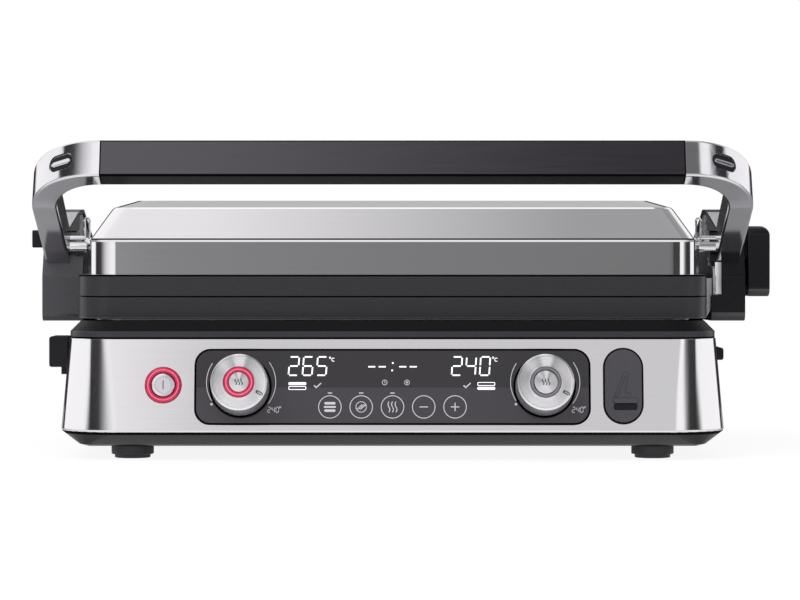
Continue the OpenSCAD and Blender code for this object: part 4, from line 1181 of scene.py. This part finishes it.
STAYING = {
    zinc_steel: ("heat_shield", "temperature_sensor_lower", "temperature_sensor_upper", "encoder_left",
                 "encoder_right", "probe_socket", "tray_rails", "pan_screws", "arm_screws", "lid_screws",
                 "float_spring_left", "float_spring_right", "lid_frame"),
    heater_sheath: ("heating_element_lower", "heating_element_upper"),
    circuit_board: ("control_board", "power_board"),
    black_moulding: ("display_module", "power_switch"),
    bright_chrome: ("hinge_pin_left", "hinge_pin_right", "pivot_shaft_left", "pivot_shaft_right",
                    "handle_screws"),
}
for look, nodes in STAYING.items():
    for node in nodes:
        for slot in frame["nodes"][node].material_slots:
            slot.material = look

# The screws inside the grip don't show in the lid either
frame["nodes"]["handle_screws"].visible_glossy = False

# ------------------------------------------------------------------ floor, light and camera

# White paper, as the camera sees it. In mirrors it fades to grey from the grill's front to the back,
# which darkens the arms. It gives off most of the light that it shows.
FLOOR_SIZE = 3.2
PAPER_GLOW = 0.85
PAPER_WHITE, PAPER_GREY = 1.05, 0.28
FLOOR_DIMS_FROM, FLOOR_DIMS_TO = -0.16, -0.04

alone()
bpy.ops.mesh.primitive_plane_add(size=FLOOR_SIZE, location=(0, 0, 0))
floor = bpy.context.object
floor.name = "floor"
paper = bpy.data.materials.new("white_paper_floor")
paper.use_nodes = True
tree = paper.node_tree
surface = tree.nodes["Principled BSDF"]
surface.inputs["Base Color"].default_value = linear("#f4f4f4")
surface.inputs["Roughness"].default_value = 0.9


def math_node(operation, one, other):
    """The result of an operation on a socket and another socket or number, in the tree at hand."""
    made = add(tree, "Math", {}, {0: one}, operation=operation)
    if isinstance(other, float):
        made.inputs[1].default_value = other
    else:
        tree.links.new(other, made.inputs[1])
    return made.outputs[0]


def span(source, low, high, new_low=0.0, new_high=1.0):
    """A value carried from one range to another, in the tree at hand."""
    return add(tree, "MapRange", {"From Min": low, "From Max": high, "To Min": new_low, "To Max": new_high},
               {"Value": source}).outputs[0]


path = add(tree, "LightPath").outputs
seen = math_node("MAXIMUM", path["Is Camera Ray"], path["Is Glossy Ray"])
seen = math_node("MAXIMUM", seen, path["Is Transmission Ray"])
share = math_node("MULTIPLY", seen, PAPER_GLOW)
depth = add(tree, "SeparateXYZ", {}, {0: add(tree, "TexCoord").outputs["Object"]}).outputs["Y"]
mirrored = span(depth, FLOOR_DIMS_FROM, FLOOR_DIMS_TO, PAPER_WHITE, PAPER_GREY)
shown = math_node("MULTIPLY", path["Is Camera Ray"], PAPER_WHITE)
shown = math_node("MAXIMUM", shown, mirrored)
white = add(tree, "Emission", {"Color": (1, 1, 1, 1)}, {"Strength": shown}).outputs[0]
mixed = add(tree, "MixShader", {}, {0: share, 1: surface.outputs[0], 2: white}).outputs[0]
tree.links.new(mixed, tree.nodes["Material Output"].inputs["Surface"])
floor.data.materials.append(paper)

world = bpy.data.worlds.new("studio")
bpy.context.scene.world = world
world.use_nodes = True
tree = world.node_tree


def grey(value):
    """The output of a node that holds one grey."""
    made = add(tree, "RGB").outputs[0]
    made.default_value = level(value)
    return made


def ramp(source, stops):
    """A grey that follows a value from 0 to 1 through (position, grey) stops."""
    stops = [(share, level(value)) for share, value in stops]
    return add(tree, "ValToRGB", {}, {"Fac": source}, stops).outputs[0]


def turn_ramp(source, stops):
    """A grey that follows a direction around the grill, in degrees to the right of straight in front."""
    return ramp(source, [((degrees + 180) / 360, value) for degrees, value in stops])


def times(one, other):
    """The product of two values or greys."""
    return add(tree, "MixRGB", {0: 1.0}, {1: one, 2: other}, blend_type="MULTIPLY").outputs[0]


def between(share, one, other):
    """One grey, turning into another as the share rises to 1."""
    return add(tree, "MixRGB", {}, {0: share, 1: one, 2: other}).outputs[0]


way = add(tree, "SeparateXYZ", {}, {0: add(tree, "TexCoord").outputs["Generated"]}).outputs
turn = math_node("ARCTAN2", way["X"], math_node("MULTIPLY", way["Y"], -1.0))
turn = span(turn, -math.pi, math.pi)

# In front: even near the ground but for a bright left end; higher up it falls off to the right
bright_hand = ramp(way["Z"], [(0.6, 1.2), (0.75, 1.2), (0.85, 1.05), (1, 1.0)])
dark_hand = ramp(way["Z"], [(0.6, 0.16), (0.75, 0.2), (0.85, 0.44), (1, 0.42)])
upper = between(span(way["X"], -0.06, 0.05), bright_hand, dark_hand)
lower = between(span(way["X"], -0.09, -0.055), grey(1.04), grey(0.74))
front = between(span(way["Z"], 0.36, 0.5), lower, upper)
# At the level of the lid's band: a strip box on the left, and grey that darkens to the right
strip = turn_ramp(turn, [(-60, 1.1), (-9, 1.1), (-5.5, 0.34), (-4.3, 0.28), (0, 0.245), (5, 0.215),
                         (50, 0.05)])
front = between(span(way["Z"], 0.07, 0.16), strip, front)

# Around: soft boxes and black flags, which draw the stripes on the round corners. They stand wider
# apart near the ground, and again above the base.
spread = ramp(way["Z"], [(0, 0.30), (0.155, 0.435), (0.2, 0.5), (0.23, 0.515), (0.25, 0.56), (0.29, 0.7),
                         (0.33, 0.36), (1, 0.36)])
around = span(math_node("MULTIPLY", span(turn, 0, 1, -1, 1), spread), -0.5, 0.5)
flags = turn_ramp(around, [(-63, 1.15), (-59, 0.03), (-43, 0.06), (-38, 0.27), (-31, 0.66), (-24, 0.9),
                           (26, 0.9), (28.5, 1.15), (39, 1.15), (44, 0.3), (49, 0.05), (62, 0.03),
                           (66, 1.15)])
in_front = turn_ramp(around, [(-24, 0), (-15, 1), (25, 1), (27, 0)])
ring = between(in_front, flags, front)
# Behind: black close to the ground, and a grey wall above the level of the handle
low_back = turn_ramp(turn, [(-140, 1), (-136, 0), (136, 0), (140, 1)])
low_back = times(low_back, span(way["Z"], 0.12, 0.06))
ring = between(low_back, ring, grey(0.03))
far_back = turn_ramp(turn, [(-152, 1), (-148, 0), (148, 0), (152, 1)])
ring = between(times(far_back, span(way["Z"], 0.36, 0.26)), ring, grey(0.04))
# Beside the strip box the room stays dark at the level of the lid's band, but for a narrow box
narrow = times(turn_ramp(turn, [(20, 0), (22, 1), (49, 1), (51, 0)]), span(way["Z"], 0.1, 0.05))
ring = between(narrow, ring, grey(0.06))
wall = times(turn_ramp(turn, [(-170, 1), (-166, 0), (166, 0), (170, 1)]), span(way["Z"], 0.25, 0.35))
ring = between(wall, ring, grey(0.6))
right_wall = times(turn_ramp(turn, [(100, 0), (110, 1), (160, 1), (165, 0)]), span(way["Z"], 0.52, 0.64))
ring = between(right_wall, ring, grey(0.38))
seen_room = between(span(way["Z"], 0.74, 0.84), ring, front)
top_box = times(turn_ramp(turn, [(-150, 1), (-140, 0), (140, 0), (150, 1)]), span(way["Z"], 0.84, 0.88))
seen_room = between(top_box, seen_room, grey(1.3))
# Mirrors and glass see this room, matt surfaces an even pale one, and the camera plain white
path = add(tree, "LightPath").outputs
shiny = math_node("MAXIMUM", path["Is Glossy Ray"], path["Is Transmission Ray"])
fill = add(tree, "MixRGB", {1: (0.75, 0.75, 0.77, 1)}, {0: shiny, 2: seen_room}).outputs[0]
backdrop = add(tree, "MixRGB", {2: level(1)}, {0: path["Is Camera Ray"], 1: fill}).outputs[0]
tree.links.new(backdrop, tree.nodes["Background"].inputs["Color"])


def aim(lamp, target):
    """Turns a lamp or the camera to look at a point."""
    lamp.rotation_euler = (Vector(target) - lamp.location).to_track_quat("-Z", "Y").to_euler()


# Where the lamp and the camera stand, and the points that they look at
LAMP_PLACE, LAMP_AIM = (-0.9, -1.3, 1.9), (0, 0, 0.1)
LAMP_SIZE, LAMP_WATTS = 1.6, 22
CAMERA_PLACE, CAMERA_AIM = (-0.0004, -2.158, 0.1244), (-0.0004, -0.158, 0.0949)
LENS, SENSOR = 152.5, 36

alone()
bpy.ops.object.light_add(type="AREA", location=LAMP_PLACE)
key = bpy.context.object
key.name = "soft_key"
key.data.size = LAMP_SIZE
key.data.energy = LAMP_WATTS
key.visible_glossy = False
aim(key, LAMP_AIM)

bpy.ops.object.camera_add(location=CAMERA_PLACE)
camera = bpy.context.object
camera.data.lens = LENS
camera.data.sensor_width = SENSOR
aim(camera, CAMERA_AIM)
bpy.context.scene.camera = camera
bpy.context.scene.view_settings.view_transform = "Standard"
